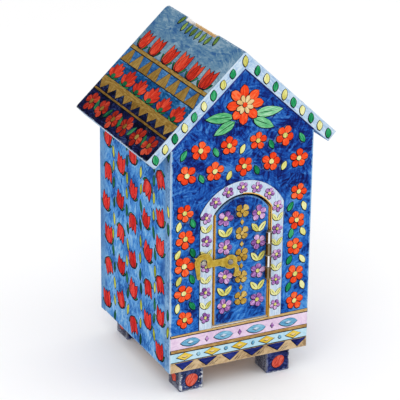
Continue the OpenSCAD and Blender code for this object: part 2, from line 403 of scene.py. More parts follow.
def brush_strokes(tree, given):
    """Two layers of strokes with soft zones over them, and the ridges that the bristles leave."""
    spot = carried(tree, "spot", "Vector")
    under, under_load, _ = stroke_layer(tree, spot, 3.0, given)
    over, over_load, over_place = stroke_layer(tree, spot, 47.0, given)
    across = math_node(tree, "DIVIDE", given["Halo"], given["Width"])
    slow = vector_node(tree, "SCALE", spot, scale=0.22)
    round_motif = noise(tree, vector_node(tree, "ADD", slow, triple(tree, across, across, across)), 0.8)
    follows = math_node(tree, "MULTIPLY", spread(tree, given["Halo"], *NEAR_MOTIF, 1.0, 0.0), FOLLOW)
    streaks = blend(tree, follows, half_way(tree, under, over), round_motif)
    loads = half_way(tree, under_load, over_load)
    tone = math_node(tree, "ADD", weigh(tree, streaks, CONTRAST), weigh(tree, loads, given["Patches"]))
    tone = math_node(tree, "ADD", tone, weigh(tree, noise(tree, spot, 1 / CLOUD), given["Clouds"]))
    bristles = noise(tree, vector_node(tree, "MULTIPLY", over_place, BRISTLES))
    return {"Tone": math_node(tree, "ADD", tone, 0.5), "Ridges": blend(tree, 0.4, streaks, bristles)}


strokes_group = make_group(
    "brush_strokes", ["Halo", "Width", "Length", "Turn", "Fan", "Patches", "Clouds"], ["Tone", "Ridges"],
    brush_strokes)

# %% [markdown]
# Worn edges
# Hands and shelves rub paint off the edges first. The mesh carries each vertex's distance to the
# nearest rounded edge, and noise makes the worn rim uneven. The same group also serves the pale
# slips that a brush leaves bare beside a motif, because that is a rim too. A second group makes
# the small chips that lie further in: noise that is cut off high, so that only its peaks stay.

# %% Groups for uneven rims and chips
def uneven_rim(tree, given):
    """A mask that is full close to an edge or a motif and ends raggedly at a reach."""
    patches = noise(tree, own_place(tree), 0.35, 4.0, 0.65)
    ragged = math_node(tree, "ADD", given["Distance"], weigh(tree, patches, given["Patchiness"]))
    share = math_node(tree, "DIVIDE", ragged, given["Reach"])
    return {"Mask": spread(tree, share, 0.2, 1.0, 1.0, 0.0)}


def paint_chips(tree, given):
    """A mask of small chips, fewer with the distance from an edge."""
    fine = math_node(tree, "DIVIDE", 1.0, given["Size"])
    peaks = noise(tree, vector_node(tree, "SCALE", own_place(tree), scale=fine))
    far_share = math_node(tree, "DIVIDE", given["Distance"], given["Reach"])
    lowered = math_node(tree, "SUBTRACT", peaks, math_node(tree, "MULTIPLY", far_share, 0.16))
    return {"Mask": spread(tree, lowered, 0.56, 0.62)}


rim_group = make_group("uneven_rim", ["Distance", "Reach", "Patchiness"], ["Mask"], uneven_rim)
chip_group = make_group("paint_chips", ["Distance", "Reach", "Size"], ["Mask"], paint_chips)

# %% [markdown]
# Painted grounds
# Every painted board has the same kind of coat in another colour: a ramp from its dark strokes to
# its pale ones, bare slips beside the motifs, and worn edges. Writing that once as two functions
# keeps the blues related, as they would be from one set of paint jars. The paint is nearly matt. A
# glossy coat would mirror the white room and turn the deep blues grey.

# %% Tools for the grounds
MATT = 0.008  # specular level of the paint
CHIP = 1.3  # size of a chip, in millimetres
finishes = {}  # what a board or a metal piece can wear, by name


def finish_coat(tree, shader, coat, strokes, bare, slip, rub, wear, chips):
    """Puts bare slips, worn edges and chips on a coat, and joins it to the shader."""
    rim = carried(tree, "rim")
    slips = {"Distance": carried(tree, "halo"), "Reach": 0.55, "Patchiness": 2.2}
    worn = {"Distance": rim, "Reach": wear, "Patchiness": 2.4}
    for sockets, share in ((slips, slip), (worn, rub)):
        mask = place_group(tree, rim_group, sockets)["Mask"]
        coat = mix(tree, math_node(tree, "MULTIPLY", mask, share), coat, bare)
    if chips:
        chipped = place_group(tree, chip_group, {"Distance": rim, "Reach": chips, "Size": CHIP})["Mask"]
        coat = mix(tree, chipped, coat, bare)
    cover(tree, shader, coat, strokes["Ridges"], (0.45, 0.65), 0.35, 0.08)


ANY_WAY = {"Width": 1.2, "Length": 9.0, "Turn": 0.0, "Fan": math.pi, "Patches": 0.26, "Clouds": 0.5}
UPRIGHT = {"Width": 1.2, "Length": 12.0, "Turn": math.pi / 2, "Fan": 1.5, "Patches": 0.12, "Clouds": 0.9}
ALONG_RIDGE = {"Width": 1.0, "Length": 12.0, "Turn": 0.1, "Fan": 0.8, "Patches": 0.2, "Clouds": 0.6}
DOWN_SLOPE = {"Width": 0.8, "Length": 10.0, "Turn": math.pi / 2, "Fan": 0.5, "Patches": 0.15, "Clouds": 0.3}
LOOSE = 8.0  # millimetres by which the strokes loosen the border between two levels
ENDS = (depth / 2 - 9, depth / 2 + 1)  # where a panel takes the tone of its ends
END_SHARE = 0.75


def painted_ground(name, levels, borders=(), bare=None, strokes=ANY_WAY,
                   slip=0.28, rub=0.4, wear=0.5, chips=0.0, ends=None):
    """A brushed coat of paint. Each level has its tones from dark to pale, and the levels follow each
    other up the panel, mixed between the heights of their borders. Bare shows where the coat is thin, and
    ends is the tone that the coat takes near the panel's upright ends."""
    finishes[name], tree, shader = start_material(name, Roughness=0.55, Specular_IOR_Level=MATT)
    strokes = place_group(tree, strokes_group, {"Halo": carried(tree, "halo"), **strokes})
    spot = carried_parts(tree, "spot")
    loose = math_node(tree, "MULTIPLY", strokes["Tone"], LOOSE)
    height = math_node(tree, "ADD", spot["Y"], loose)
    coat, *uppers = [tinted(tree, strokes["Tone"], tones) for tones in levels]
    for upper, border in zip(uppers, borders):
        coat = mix(tree, spread(tree, height, *border), coat, upper)
    if ends:
        outwards = math_node(tree, "ADD", math_node(tree, "ABSOLUTE", spot["X"]), loose)
        coat = mix(tree, spread(tree, outwards, *ENDS, 0.0, END_SHARE), coat, colour(*ends))
    finish_coat(tree, shader, coat, strokes, colour(*(bare or levels[0][-1])), slip, rub, wear, chips)


print("specular level", MATT)

# %% Make the plain grounds
GROUND_TONES = {
    "lilac": [(226, 197, 228), (240, 215, 240), (248, 229, 248)],
    "sky": [(178, 222, 242), (196, 232, 248), (212, 240, 252)],
    "primer": [(250, 250, 248), (255, 255, 255), (255, 255, 255)],
    "tan": [(158, 130, 98), (198, 168, 126), (216, 188, 146), (224, 198, 160)],
    # the ochre of the gap round the door is made extra light, as painted light for the shaded gap
    "ochre_edge": [(250, 182, 62), (255, 206, 84), (255, 222, 116)],
}
EDGE_TONES = [(80, 114, 158), (100, 140, 186), (112, 154, 200), (126, 168, 211), (150, 190, 224)]
BARGE_TONES = [(150, 184, 222), (178, 206, 234), (198, 221, 242), (224, 238, 250)]
for name, tones in GROUND_TONES.items():
    painted_ground(name, [tones])
# The pale rim of the front's end edges is partly worn paint and partly a painted highlight along the front
# corner.
painted_ground("edge_blue", [EDGE_TONES], (), (206, 222, 238), rub=0.85, wear=0.6)
painted_ground("barge_white", [BARGE_TONES], strokes=DOWN_SLOPE)
print(len(finishes), "plain grounds")

# %% [markdown]
# Front, sides and roof
# The front is a deep blue that gets lighter towards the foot, and the sides are a light blue. The
# roof goes from grey blue at the ridge to navy at the eaves, as a sky does. One ramp for each height,
# loosened by the strokes, gives that change without a hard line. The door has the front's blue, but
# its edges are less rubbed, because the opening shelters them.

# %% Make the graded grounds
FRONT_LOW = [(22, 38, 104), (27, 73, 155), (37, 103, 191), (53, 121, 206), (88, 154, 221)]
FRONT_HIGH = [(22, 24, 86), (24, 42, 120), (26, 72, 160), (40, 98, 185), (74, 134, 205)]
SIDE_LOW = [(40, 94, 168), (65, 128, 203), (94, 160, 225), (120, 178, 231), (158, 204, 241)]
SIDE_HIGH = [(34, 86, 162), (55, 120, 199), (82, 152, 223), (108, 172, 229), (148, 198, 241)]
ROOF_LOW = [(2, 3, 18), (6, 8, 37), (12, 16, 55), (24, 31, 77), (50, 66, 110)]
ROOF_MIDDLE = [(8, 34, 76), (10, 61, 113), (15, 79, 133), (32, 96, 148), (66, 118, 164)]
ROOF_TEETH = [(26, 66, 126), (38, 90, 150), (52, 106, 164), (72, 124, 178), (102, 148, 194)]
ROOF_PALE = [(80, 118, 150), (100, 137, 162), (119, 152, 171), (136, 164, 178), (160, 182, 190)]
ROOF_HIGH = [(54, 98, 150), (76, 118, 158), (92, 132, 164), (108, 144, 170), (138, 166, 186)]
ROOF_BORDERS = [(-0.72, -0.56), (-0.49, -0.45), (-0.36, -0.30), (-0.24, -0.12)]  # shares of the slope
# The front's strong rub gives its corner edge a pale rim: partly wear, partly a painted highlight.
for name, rub in (("front_blue", 0.75), ("door_blue", 0.3)):
    painted_ground(name, [FRONT_LOW, FRONT_HIGH], [(70, 105)], (150, 200, 238), rub=rub)
painted_ground("side_blue", [SIDE_LOW, SIDE_HIGH], [(30, 80)], (188, 214, 238), UPRIGHT, ends=(112, 156, 200))
painted_ground(
    "roof_blue", [ROOF_LOW, ROOF_MIDDLE, ROOF_TEETH, ROOF_PALE, ROOF_HIGH],
    [(low * slope_l, high * slope_l) for low, high in ROOF_BORDERS],
    (206, 220, 234), ALONG_RIDGE, slip=0.05, rub=0.2, wear=0.3, chips=0.4)
print(len(finishes), "grounds with the front, sides and roof")

# %% [markdown]
# Foot paint
# The feet are navy and take the most knocks. Three of them are a little rubbed along their edges. The
# front left one has stood at the edge of a shelf: its coat is chipped white well in from the edges.
# The outer faces beside the walls are greyer, with pale scratches, which are strokes of high contrast.

# %% Make the foot paint
FOOT_TONES = [(18, 21, 50), (34, 41, 86), (46, 57, 116), (78, 92, 148)]
CHIPPED_TONES = [(28, 33, 60), (45, 53, 91), (58, 70, 118), (90, 104, 152)]
FOOT_SIDE_TONES = [(26, 28, 46), (58, 60, 80), (92, 94, 112), (128, 130, 146), (170, 174, 188)]
FOOT_BARE = (222, 226, 232)
SCRATCHES = {"Width": 0.5, "Length": 6.0, "Turn": 0.8, "Fan": 0.5, "Patches": 0.2, "Clouds": 0.3}
painted_ground("foot_navy", [FOOT_TONES], (), FOOT_BARE, slip=0.1, rub=0.2, wear=0.4, chips=0.5)
painted_ground("chipped_navy", [CHIPPED_TONES], (), FOOT_BARE, slip=0.1, rub=0.3, wear=0.5, chips=3.4)
painted_ground("foot_side", [FOOT_SIDE_TONES], (), FOOT_BARE, SCRATCHES, slip=0.1, rub=0.25, wear=0.4)
print(len(finishes), "grounds with the feet")

# %% [markdown]
# Bare wood
# Inside the box and under the floor the board is left bare, and in the coin slot it is freshly cut
# and paler. The slot's wood is painted paler still, as painted light, because the narrow slot lies
# in shade. Its grain is noise that is stretched a long way along the board, with finer pores in
# the same direction, and a slower noise for the light and dark bands.

# %% Make the bare wood
BANDS = (0.5, 0.5, 0.03)  # how fast the bands and the pores change across and along the board
PORES = (4.0, 4.0, 0.12)
WOOD_TONES = {  # from the dark bands to the pale ones, and the colour of the pores
    "bare_wood": ([(172, 112, 52), (206, 150, 82), (226, 180, 116)], (138, 84, 36)),
    # the slot's wood: pale from the fresh cut, and painted paler still as painted light for the shaded slot
    "cut_wood": ([(250, 206, 140), (255, 222, 166), (255, 238, 200)], (246, 186, 112)),
}


def bare_wood(name, tones, pore):
    """Wood without paint."""
    finishes[name], tree, shader = start_material(name, Roughness=0.65, Specular_IOR_Level=0.2)
    place = own_place(tree)
    bands = noise(tree, vector_node(tree, "MULTIPLY", place, BANDS), 1.0, 4.0, 0.6, Distortion=0.6)
    pores = noise(tree, vector_node(tree, "MULTIPLY", place, PORES))
    dark = spread(tree, pores, 0.52, 0.72, 0.0, 0.55)
    coat = mix(tree, dark, tinted(tree, bands, tones), colour(*pore))
    cover(tree, shader, coat, pores, (0.55, 0.75), 0.3, 0.05)


for name, (tones, pore) in WOOD_TONES.items():
    bare_wood(name, tones, pore)
print(len(finishes), "grounds with the bare wood")

# %% [markdown]
# Pigments
# The motifs are dabs of thick paint. Each dab carries the direction of its own brush strokes and
# its own number, so that noise can streak it lengthwise and no two dabs get quite the same tone.
# A thin ink line lies under each dab and shows round it.

# %% Group for the streaks in a dab
STREAKS = 1.5  # streaks across a millimetre of a dab


def dab_streaks(tree, given):
    """Streaks along a dab, with a tone that leans a little from dab to dab."""
    stroke = carried_parts(tree, "stroke")
    place = triple(tree, math_node(tree, "MULTIPLY", stroke["X"], 0.3),
                   math_node(tree, "MULTIPLY", stroke["Y"], given["Streaks"]),
                   math_node(tree, "MULTIPLY", stroke["Z"], 37.0))
    streaks = noise(tree, place, detail=3.0, rough=0.6)
    return {"Tone": math_node(tree, "ADD", streaks, weigh(tree, stroke["Z"], 0.26)), "Ridges": streaks}


dab_group = make_group("dab_streaks", ["Streaks"], ["Tone", "Ridges"], dab_streaks)

# %% Make the pigments
def pigment(name, tones):
    """Thick paint, streaked along its dab. Tones run from dark to pale."""
    material, tree, shader = start_material(name, Roughness=0.5, Specular_IOR_Level=MATT)
    streaks = place_group(tree, dab_group, {"Streaks": STREAKS})
    cover(tree, shader, tinted(tree, streaks["Tone"], tones), streaks["Ridges"], (0.4, 0.6), 0.3, 0.06)
    return material


PIGMENT_TONES = {
    "ink": [(6, 7, 16), (10, 12, 26), (24, 28, 54)],
    "poppy_red": [(222, 54, 26), (248, 74, 36), (255, 90, 44), (255, 126, 76)],
    "crimson": [(184, 30, 30), (220, 44, 42), (234, 54, 50), (246, 92, 80)],
    "roof_red": [(152, 30, 18), (196, 46, 31), (214, 59, 39), (228, 92, 64)],
    "deep_red": [(124, 22, 14), (160, 38, 25), (184, 52, 35), (206, 88, 62)],
    "faded_red": [(148, 40, 32), (204, 70, 54), (228, 88, 70), (240, 124, 104)],
    "leaf_green": [(18, 104, 64), (30, 140, 86), (42, 158, 98), (84, 184, 128)],
    "deep_green": [(12, 64, 40), (20, 88, 54), (28, 106, 66), (60, 136, 90)],
    "moss_green": [(80, 108, 46), (108, 140, 60), (130, 160, 74), (168, 190, 106)],
    "pale_green": [(60, 160, 96), (96, 186, 124), (130, 206, 152), (176, 226, 186)],
    "lemon": [(196, 192, 92), (226, 222, 124), (238, 236, 154), (246, 246, 192)],
    "olive_yellow": [(132, 140, 34), (176, 186, 50), (204, 208, 68), (226, 226, 112)],
    "violet": [(116, 66, 138), (164, 108, 180), (198, 146, 210), (232, 196, 232)],
    "old_gold": [(160, 120, 44), (190, 150, 62), (206, 170, 80), (224, 196, 118)],
    "gold_line": [(168, 128, 74), (202, 164, 104), (218, 186, 130)],
    "roof_tan": [(102, 74, 27), (132, 99, 41), (146, 113, 51), (168, 138, 75)],
    "navy": [(24, 28, 82), (36, 48, 120), (50, 64, 146)],
    "cream": [(226, 184, 118), (238, 208, 148), (246, 224, 180)],
    "powder_blue": [(188, 209, 234), (208, 225, 242), (222, 235, 250), (238, 246, 254)],
    "ochre": [(222, 152, 48), (244, 184, 72), (255, 210, 112)],
    "water_blue": [(84, 150, 194), (124, 186, 218), (164, 212, 234)],
    "sun_yellow": [(206, 166, 48), (234, 198, 66), (244, 216, 102)],
}
pigments = {name: pigment(name, tones) for name, tones in PIGMENT_TONES.items()}
print(len(pigments), "pigments")

# %% [markdown]
# Boards with soft edges
# Most boards start as a welded copy of their CAD piece, whose flat faces are made whole again. A
# bevel then rounds the edges that a hand would sand. At last the board is cut into small cells,
# like a loaf into slices both ways, so that its vertices lie close enough together to carry how
# far each spot is from a motif and from an edge.

# %% Tools for boards
WELD = 1e-6
CELL = 1.5  # size of a cell, in millimetres
FRONT_CELL = 1.3  # the front shows most, so its cells are finer


def cad_copy(node):
    """A welded copy of a CAD piece, with whole flat faces."""
    bm = bmesh.new()
    bm.from_mesh(nodes[node].data)
    bmesh.ops.remove_doubles(bm, verts=bm.verts, dist=WELD)
    bmesh.ops.dissolve_limit(bm, angle_limit=math.radians(1), verts=bm.verts, edges=bm.edges)
    return bm


def prism(outlines, panel, thickness):
    """A board from outlines on a panel. Outlines that share an edge become one board."""
    bm = bmesh.new()
    used = [frozenset(pair) for line in outlines for pair in zip(line, line[1:] + line[:1])]
    for line in outlines:
        near = [bm.verts.new(panel.at(u, v)) for u, v in line]
        far = [bm.verts.new(panel.at(u, v, -thickness)) for u, v in line]
        bm.faces.new(near)
        bm.faces.new(far[::-1])
        for i in range(len(line)):
            if used.count(frozenset((line[i - 1], line[i]))) == 1:
                bm.faces.new((near[i], near[i - 1], far[i - 1], far[i]))
    bmesh.ops.remove_doubles(bm, verts=bm.verts, dist=WELD)
    bmesh.ops.recalc_face_normals(bm, faces=bm.faces)
    return bm


def sharp(edge, degrees=25):
    return len(edge.link_faces) == 2 and edge.calc_face_angle() > math.radians(degrees)


def on_plane(edge, panel):
    return all(abs((v.co - panel.origin).dot(panel.out)) < 2 * WELD for v in edge.verts)


def middle_of(edge):
    """The middle of an edge, in millimetres."""
    return (edge.verts[0].co + edge.verts[1].co) / 2 / MM


def rim_of(bm, panel, wanted=lambda edge: True):
    """The sharp edges of a board that lie on a panel, as far as they are wanted."""
    return [e for e in bm.edges if sharp(e) and on_plane(e, panel) and wanted(e)]


def round_edges(bm, edges, radius, segments=3):
    """Rounds edges and remembers the new faces as rounded ones."""
    mark = bm.faces.layers.int.get("rounded") or bm.faces.layers.int.new("rounded")
    made = bmesh.ops.bevel(bm, geom=edges, offset=radius * MM, offset_type="OFFSET", segments=segments,
                           profile=0.5, affect="EDGES", clamp_overlap=True)
    for face in made["faces"]:
        face[mark] = 1


def slice_at(bm, place, way, drop=False):
    """Cuts a piece along a plane. Drop takes away what lies beyond the plane and closes the hole."""
    bmesh.ops.bisect_plane(bm, geom=bm.verts[:] + bm.edges[:] + bm.faces[:], dist=WELD / 10,
                           clear_outer=drop, plane_co=place, plane_no=way)
    if drop:
        bmesh.ops.holes_fill(bm, edges=bm.edges, sides=0)


def cut_cells(bm, axes, cell=CELL):
    """Cuts a piece into cells across the given directions."""
    for axis in axes:
        reach = [v.co.dot(axis) for v in bm.verts]
        count = math.ceil((max(reach) - min(reach)) / (cell * MM))
        for i in range(1, count):
            slice_at(bm, axis * (min(reach) + (max(reach) - min(reach)) * i / count), axis)


print("cells of", CELL, "mm")

# %% Turn a board into an object
def set_values(mesh, name, values):
    """Gives each vertex a value, or a vector where the values are threes."""
    values = np.asarray(values, np.float32)
    kind, field = ("FLOAT", "value") if values.ndim == 1 else ("FLOAT_VECTOR", "vector")
    carrier = mesh.attributes.get(name) or mesh.attributes.new(name, kind, "POINT")
    carrier.data.foreach_set(field, values.ravel())


def nearest(points, places, most):
    """Distance in millimetres from each place to the nearest point, up to a limit."""
    tree = KDTree(len(points))
    for index, point in enumerate(points):
        tree.insert(point, index)
    tree.balance()
    return [min(tree.find(place)[2] / MM, most) for place in places]


FAR = 12.0  # millimetres: further than this, an edge or motif no longer matters
CREASE = 40  # degrees: edges that turn more than this stay sharp to the light
boards = {}


def show(mesh, name, crease, body):
    """Puts a mesh in the scene as a piece that rides on a body."""
    mesh.shade_smooth()
    mesh.set_sharp_from_angle(angle=math.radians(crease))
    piece = bpy.data.objects.new(name, mesh)
    scene.collection.objects.link(piece)
    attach(piece, body)
    return piece


def make_piece(bm, name, finish, body, replaced, panel):
    """A shown piece from a bmesh. finish(normal, centre) names what each face wears."""
    mark = bm.faces.layers.int.get("rounded")
    rims = {v for face in bm.faces if mark and face[mark] for v in face.verts}
    rim_points = [v.co.copy() for v in rims]
    mesh = bpy.data.meshes.new(name)
    used = []
    for face in bm.faces:
        worn = finish(face.normal, face.calc_center_median() / MM)
        if worn not in used:
            used.append(worn)
        face.material_index = used.index(worn)
    bm.to_mesh(mesh)
    bm.free()
    for worn in used:
        mesh.materials.append(finishes[worn])
    places = [v.co for v in mesh.vertices]
    set_values(mesh, "rim", nearest(rim_points, places, FAR) if rim_points else [FAR] * len(places))
    set_values(mesh, "halo", [FAR] * len(places))
    set_values(mesh, "spot", [panel.spot(place) for place in places])
    piece = show(mesh, name, CREASE, body)
    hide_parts(replaced)
    boards[replaced] = piece
    print(name, len(mesh.vertices), "vertices,", len(used), "materials")


print("rims and halos reach", FAR, "mm")

# %% [markdown]
# Front board
# The front is one gabled board with an arched opening. It is drawn as two halves that share the
# middle line, because a face can't have a hole, and the halves are welded. Low on the front lie
# three painted bands, so the board is cut once more along their borders. The sill shows the white
# primer, and the sides of the opening are pale or ochre.

# %% Build the front board
ARCH_STEPS = 14  # from an end of the arch to its top


def arch_line(margin, steps=ARCH_STEPS):
    """The arch from its right end over the top to its left end, moved out by a margin."""
    reach = math.asin((opening_half + margin) / (arch_r + margin))
    centre = arch_top - arch_r
    return [((arch_r + margin) * math.sin(reach * (1 - i / steps)),
             centre + (arch_r + margin) * math.cos(reach * (1 - i / steps))) for i in range(2 * steps + 1)]


def mirrored(line):
    return [(-u, v) for u, v in reversed(line)]


TAN_TOP = 5.7  # borders of the painted bands, above the underside of the body
SKY_TOP = 11.6
LILAC_TOP = 19.7
GOLD_TOP = 20.7  # upper border of the gold line between the lilac band and the sill
GOLD_TAPER = 0.4  # how far the gold line's upper border drops on the left and climbs on the right
EDGE_ROUND = 0.5
OPENING_ROUND = 0.3
OPENING_ROOM = 0.3  # how far round the opening a face or an edge still belongs to it

arch = arch_line(0)
top_index = len(arch) // 2
right_arch = [(0.0, arch_top)] + arch[:top_index][::-1]
right_half = [(0.0, 0.0), (half_w, 0.0), (half_w, wall_h), (0.0, apex_h)] + right_arch + [
    (opening_half, sill_h), (0.0, sill_h)]
front_bm = prism([right_half, mirrored(right_half)], FRONT, thick)


def in_opening(centre):
    height = centre.z - foot_h
    return (abs(centre.x) < opening_half + OPENING_ROOM
            and sill_h - OPENING_ROOM < height < arch_top + OPENING_ROOM)


def by_opening(edge):
    return in_opening(middle_of(edge))


def under_roof(edge):
    """Whether an edge is one of the sloping ones that the roof boards lie on."""
    rise = abs(edge.verts[0].co.z - edge.verts[1].co.z)
    run = abs(edge.verts[0].co.x - edge.verts[1].co.x)
    return min(rise, run) > WELD and not by_opening(edge)


outer_rim = rim_of(front_bm, FRONT, lambda edge: not under_roof(edge) and not by_opening(edge))
round_edges(front_bm, outer_rim, EDGE_ROUND)
round_edges(front_bm, rim_of(front_bm, FRONT, by_opening), OPENING_ROUND)
for border in (TAN_TOP, SKY_TOP, LILAC_TOP):
    slice_at(front_bm, FRONT.at(0, border), FRONT.up)
cut_cells(front_bm, (FRONT.right, FRONT.up), FRONT_CELL)


def front_finish(normal, centre):
    height = centre.z - foot_h
    if in_opening(centre):
        if normal.z > 0.5:
            return "primer"
        if normal.y < -0.2 and normal.x > -0.1:
            return "barge_white"
        # The ochre sides of the opening are painted extra light, as painted light in the shaded gap.
        return "ochre_edge" if normal.y < 0.9 else "bare_wood"
    if normal.y > 0.5:
        return "bare_wood"
    if abs(normal.x) > 0.6 or normal.z < -0.8:
        return "edge_blue"
    if height < TAN_TOP:
        return "tan"
    if height < SKY_TOP:
        return "sky"
    return "lilac" if height < LILAC_TOP else "front_blue"


make_piece(front_bm, "front_board_painted", front_finish, "case", "front_board", FRONT)

# %% [markdown]
# Door
# The door is the same arch, smaller by the gap. Its sides and foot are ochre, which shows as a thin
# warm line beside the closed door. That ochre is made extra light, as painted light, because the gap
# lies in shade. The blue of its face runs on over its top, and its back is bare wood. Primer and
# paint on its top and bottom edges fill part of the gap there. The sides stay free, because the
# door needs that room to swing.

# %% Build the door
COAT = 0.4  # primer and paint on the top and bottom edges of the door, in millimetres
DOOR_SHARP = 60  # degrees: only edges that turn more than this are rounded
door_half = opening_half - door_gap
door_foot = sill_h + door_gap - COAT
door_top = [(u, v + COAT) for u, v in arch_line(-door_gap)]
door_line = [(-door_half, door_foot), (door_half, door_foot)] + door_top
door_bm = prism([door_line], FRONT, thick)
round_edges(door_bm, [e for e in door_bm.edges if sharp(e, DOOR_SHARP)], OPENING_ROUND)
cut_cells(door_bm, (FRONT.right, FRONT.up), FRONT_CELL)


def door_finish(normal, centre):
    if normal.y > 0.6:
        return "bare_wood"
    # Its ochre sides are painted extra light, as painted light in the shaded gap round the door.
    return "door_blue" if normal.y < -0.6 or normal.z > 0.3 else "ochre_edge"


make_piece(door_bm, "door_painted", door_finish, "door", "door", FRONT)

# %% [markdown]
# Walls, back and floor
# The side walls stand between the front and the back. Their upright ends stay square, so that the
# seams close and the paint runs on over them. Only the lower outer edge is rounded.

# %% Build the walls, back and floor
FLOOR_CELL = 6.0


def wall_finish(outward):
    """Paint outside and bare wood inside."""
    return lambda normal, centre: "bare_wood" if normal.dot(outward) < -0.5 else "side_blue"


def at_foot(edge):
    return all(abs(v.co.z - base) < WELD for v in edge.verts)


for node, panel in (("left_wall", LEFT), ("right_wall", RIGHT)):
    bm = cad_copy(node)
    round_edges(bm, rim_of(bm, panel, at_foot), EDGE_ROUND)
    cut_cells(bm, (panel.right, panel.up))
    make_piece(bm, node + "_painted", wall_finish(panel.out), "case", node, panel)

back_bm = cad_copy("back_board")
for vert in back_bm.verts:
    if vert.co.y > back_high.y - WELD:
        vert.co.y -= PAINT_ROOM * MM
round_edges(back_bm, rim_of(back_bm, BACK, lambda edge: not under_roof(edge)), EDGE_ROUND)
cut_cells(back_bm, (BACK.right, BACK.up))
make_piece(back_bm, "back_board_painted", wall_finish(BACK.out), "case", "back_board", BACK)

floor_bm = cad_copy("floor_board")
cut_cells(floor_bm, (FRONT.right, FRONT.out), FLOOR_CELL)
make_piece(floor_bm, "floor_board_bare", lambda normal, centre: "bare_wood",
           "case", "floor_board", FRONT)

# %% [markdown]
# Roof boards
# The two roof boards meet in a mitre. A knife-sharp ridge would not last, so the ridge is planed
# flat by a third of a millimetre and its ends are sanded round. The corners at the eaves are
# rounded, then the rims. The end edges are pale barge boards. The slot lies a little to the right
# of the ridge. Its rim is rounded too, and it shows freshly cut wood, which is painted extra pale as
# painted light for the shaded slot, and primer at its back end.

# %% Build the roof
RIDGE_PLANED = 0.35
RIDGE_END = 1.6  # radius that the ends of the ridge are sanded to
RIDGE_CUTS = (15, 37.5, 60, 82.5)  # slants of the flat cuts that round such an end, in degrees
EAVE_CORNER = 1.2
EAVE_SEGMENTS = 5
SLOT_ROUND = 0.45
SLOT_ROOM = 0.2  # how far round the slot an edge still belongs to it
PRIMER = 2.6  # length of white primer that shows at the back end of the slot

ridge_line = [v.co.y for v in nodes["roof_left"].data.vertices if v.co.z > roof_high.z - WELD]
slot_ends = sorted(set(round(y / MM, 2) for y in ridge_line))
slot_half = (slot_ends[2] - slot_ends[1]) / 2
slot_mid = (slot_ends[2] + slot_ends[1]) / 2


def slot_reach(node):
    """How far the slot reaches from the ridge into a roof board, measured level."""
    return min(abs(v.co.x) / MM for v in nodes[node].data.vertices
               if abs(v.co.y / MM - slot_ends[1]) < CLOSE and abs(v.co.x) > WELD)


slot_sides = {node: slot_reach(node) for node in ("roof_left", "roof_right")}


def near_slot(place, slot_side, room):
    """Whether a place lies in the slot or within some room of it."""
    return abs(place.x) < slot_side + room and abs(place.y - slot_mid) < slot_half + room


def roof_finish(panel, slot_side):
    def finish(normal, centre):
        facing = normal.dot(panel.out)
        below = facing < -0.9
        in_box = abs(centre.x) < half_w - thick and abs(centre.y - mid_y / MM) < depth / 2 - thick
        if near_slot(centre, slot_side, SLOT_ROUND) and facing < 0.95 and not below:
            # In the slot the wood is painted extra pale, as painted light, since the narrow slot lies in
            # shade.
            return "primer" if centre.y > slot_mid + slot_half - PRIMER else "cut_wood"
        if below:
            return "bare_wood" if in_box else "side_blue"
        return "roof_blue" if facing > 0.5 else "barge_white"
    return finish


def crosses(edge, panel):
    """Whether an edge runs straight through the board."""
    return abs((edge.verts[0].co - edge.verts[1].co).normalized().dot(panel.out)) > 0.99


def sand_ridge_end(bm, end):
    """Rounds the ridge at its front or back end with a fan of flat cuts."""
    middle = Vector((0, mid_y + end * (depth / 2 - RIDGE_END) * MM,
                     roof_high.z - (RIDGE_PLANED + RIDGE_END) * MM))
    for degrees in RIDGE_CUTS:
        away = Vector((0, end * math.cos(math.radians(degrees)), math.sin(math.radians(degrees))))
        slice_at(bm, middle + away * RIDGE_END * MM, away, drop=True)


for node, panel in (("roof_left", ROOF_LEFT), ("roof_right", ROOF_RIGHT)):
    side = slot_sides[node]
    bm = cad_copy(node)
    slice_at(bm, (0, 0, roof_high.z - RIDGE_PLANED * MM), (0, 0, 1), drop=True)
    bmesh.ops.recalc_face_normals(bm, faces=bm.faces)
    round_edges(bm, [e for e in bm.edges if sharp(e) and crosses(e, panel)], EAVE_CORNER, EAVE_SEGMENTS)
    slot_rim = rim_of(bm, panel, lambda edge: near_slot(middle_of(edge), side, SLOT_ROOM))
    round_edges(bm, slot_rim, SLOT_ROUND)
    round_edges(bm, rim_of(bm, panel), EDGE_ROUND)
    for end in (-1, 1):
        sand_ridge_end(bm, end)
    bmesh.ops.recalc_face_normals(bm, faces=bm.faces)
    cut_cells(bm, (panel.right, panel.up))
    make_piece(bm, node + "_painted", roof_finish(panel, side), "case", node, panel)
print(f"slot {2 * slot_half:.1f} mm long, {sum(slot_sides.values()):.1f} mm wide")

# %% [markdown]
# Feet
# Four square blocks carry the box. They are sanded all round, and their cells are small, because
# the worn paint on them is small too.

# %% Build the feet
FOOT_ROUND = 0.6
FOOT_CELL = 1.0
FEET = ("foot_front_left", "foot_front_right", "foot_back_left", "foot_back_right")
CHIPPED_FOOT = FEET[0]


def foot_finish(node):
    face = "chipped_navy" if node == CHIPPED_FOOT else "foot_navy"
    return lambda normal, centre: "foot_side" if abs(normal.x) > 0.75 else face


for node in FEET:
    bm = cad_copy(node)
    round_edges(bm, [e for e in bm.edges if sharp(e)], FOOT_ROUND)
    cut_cells(bm, (Vector((1, 0, 0)), Vector((0, 1, 0)), Vector((0, 0, 1))), FOOT_CELL)
    make_piece(bm, node + "_painted", foot_finish(node), "case", node, FRONT)
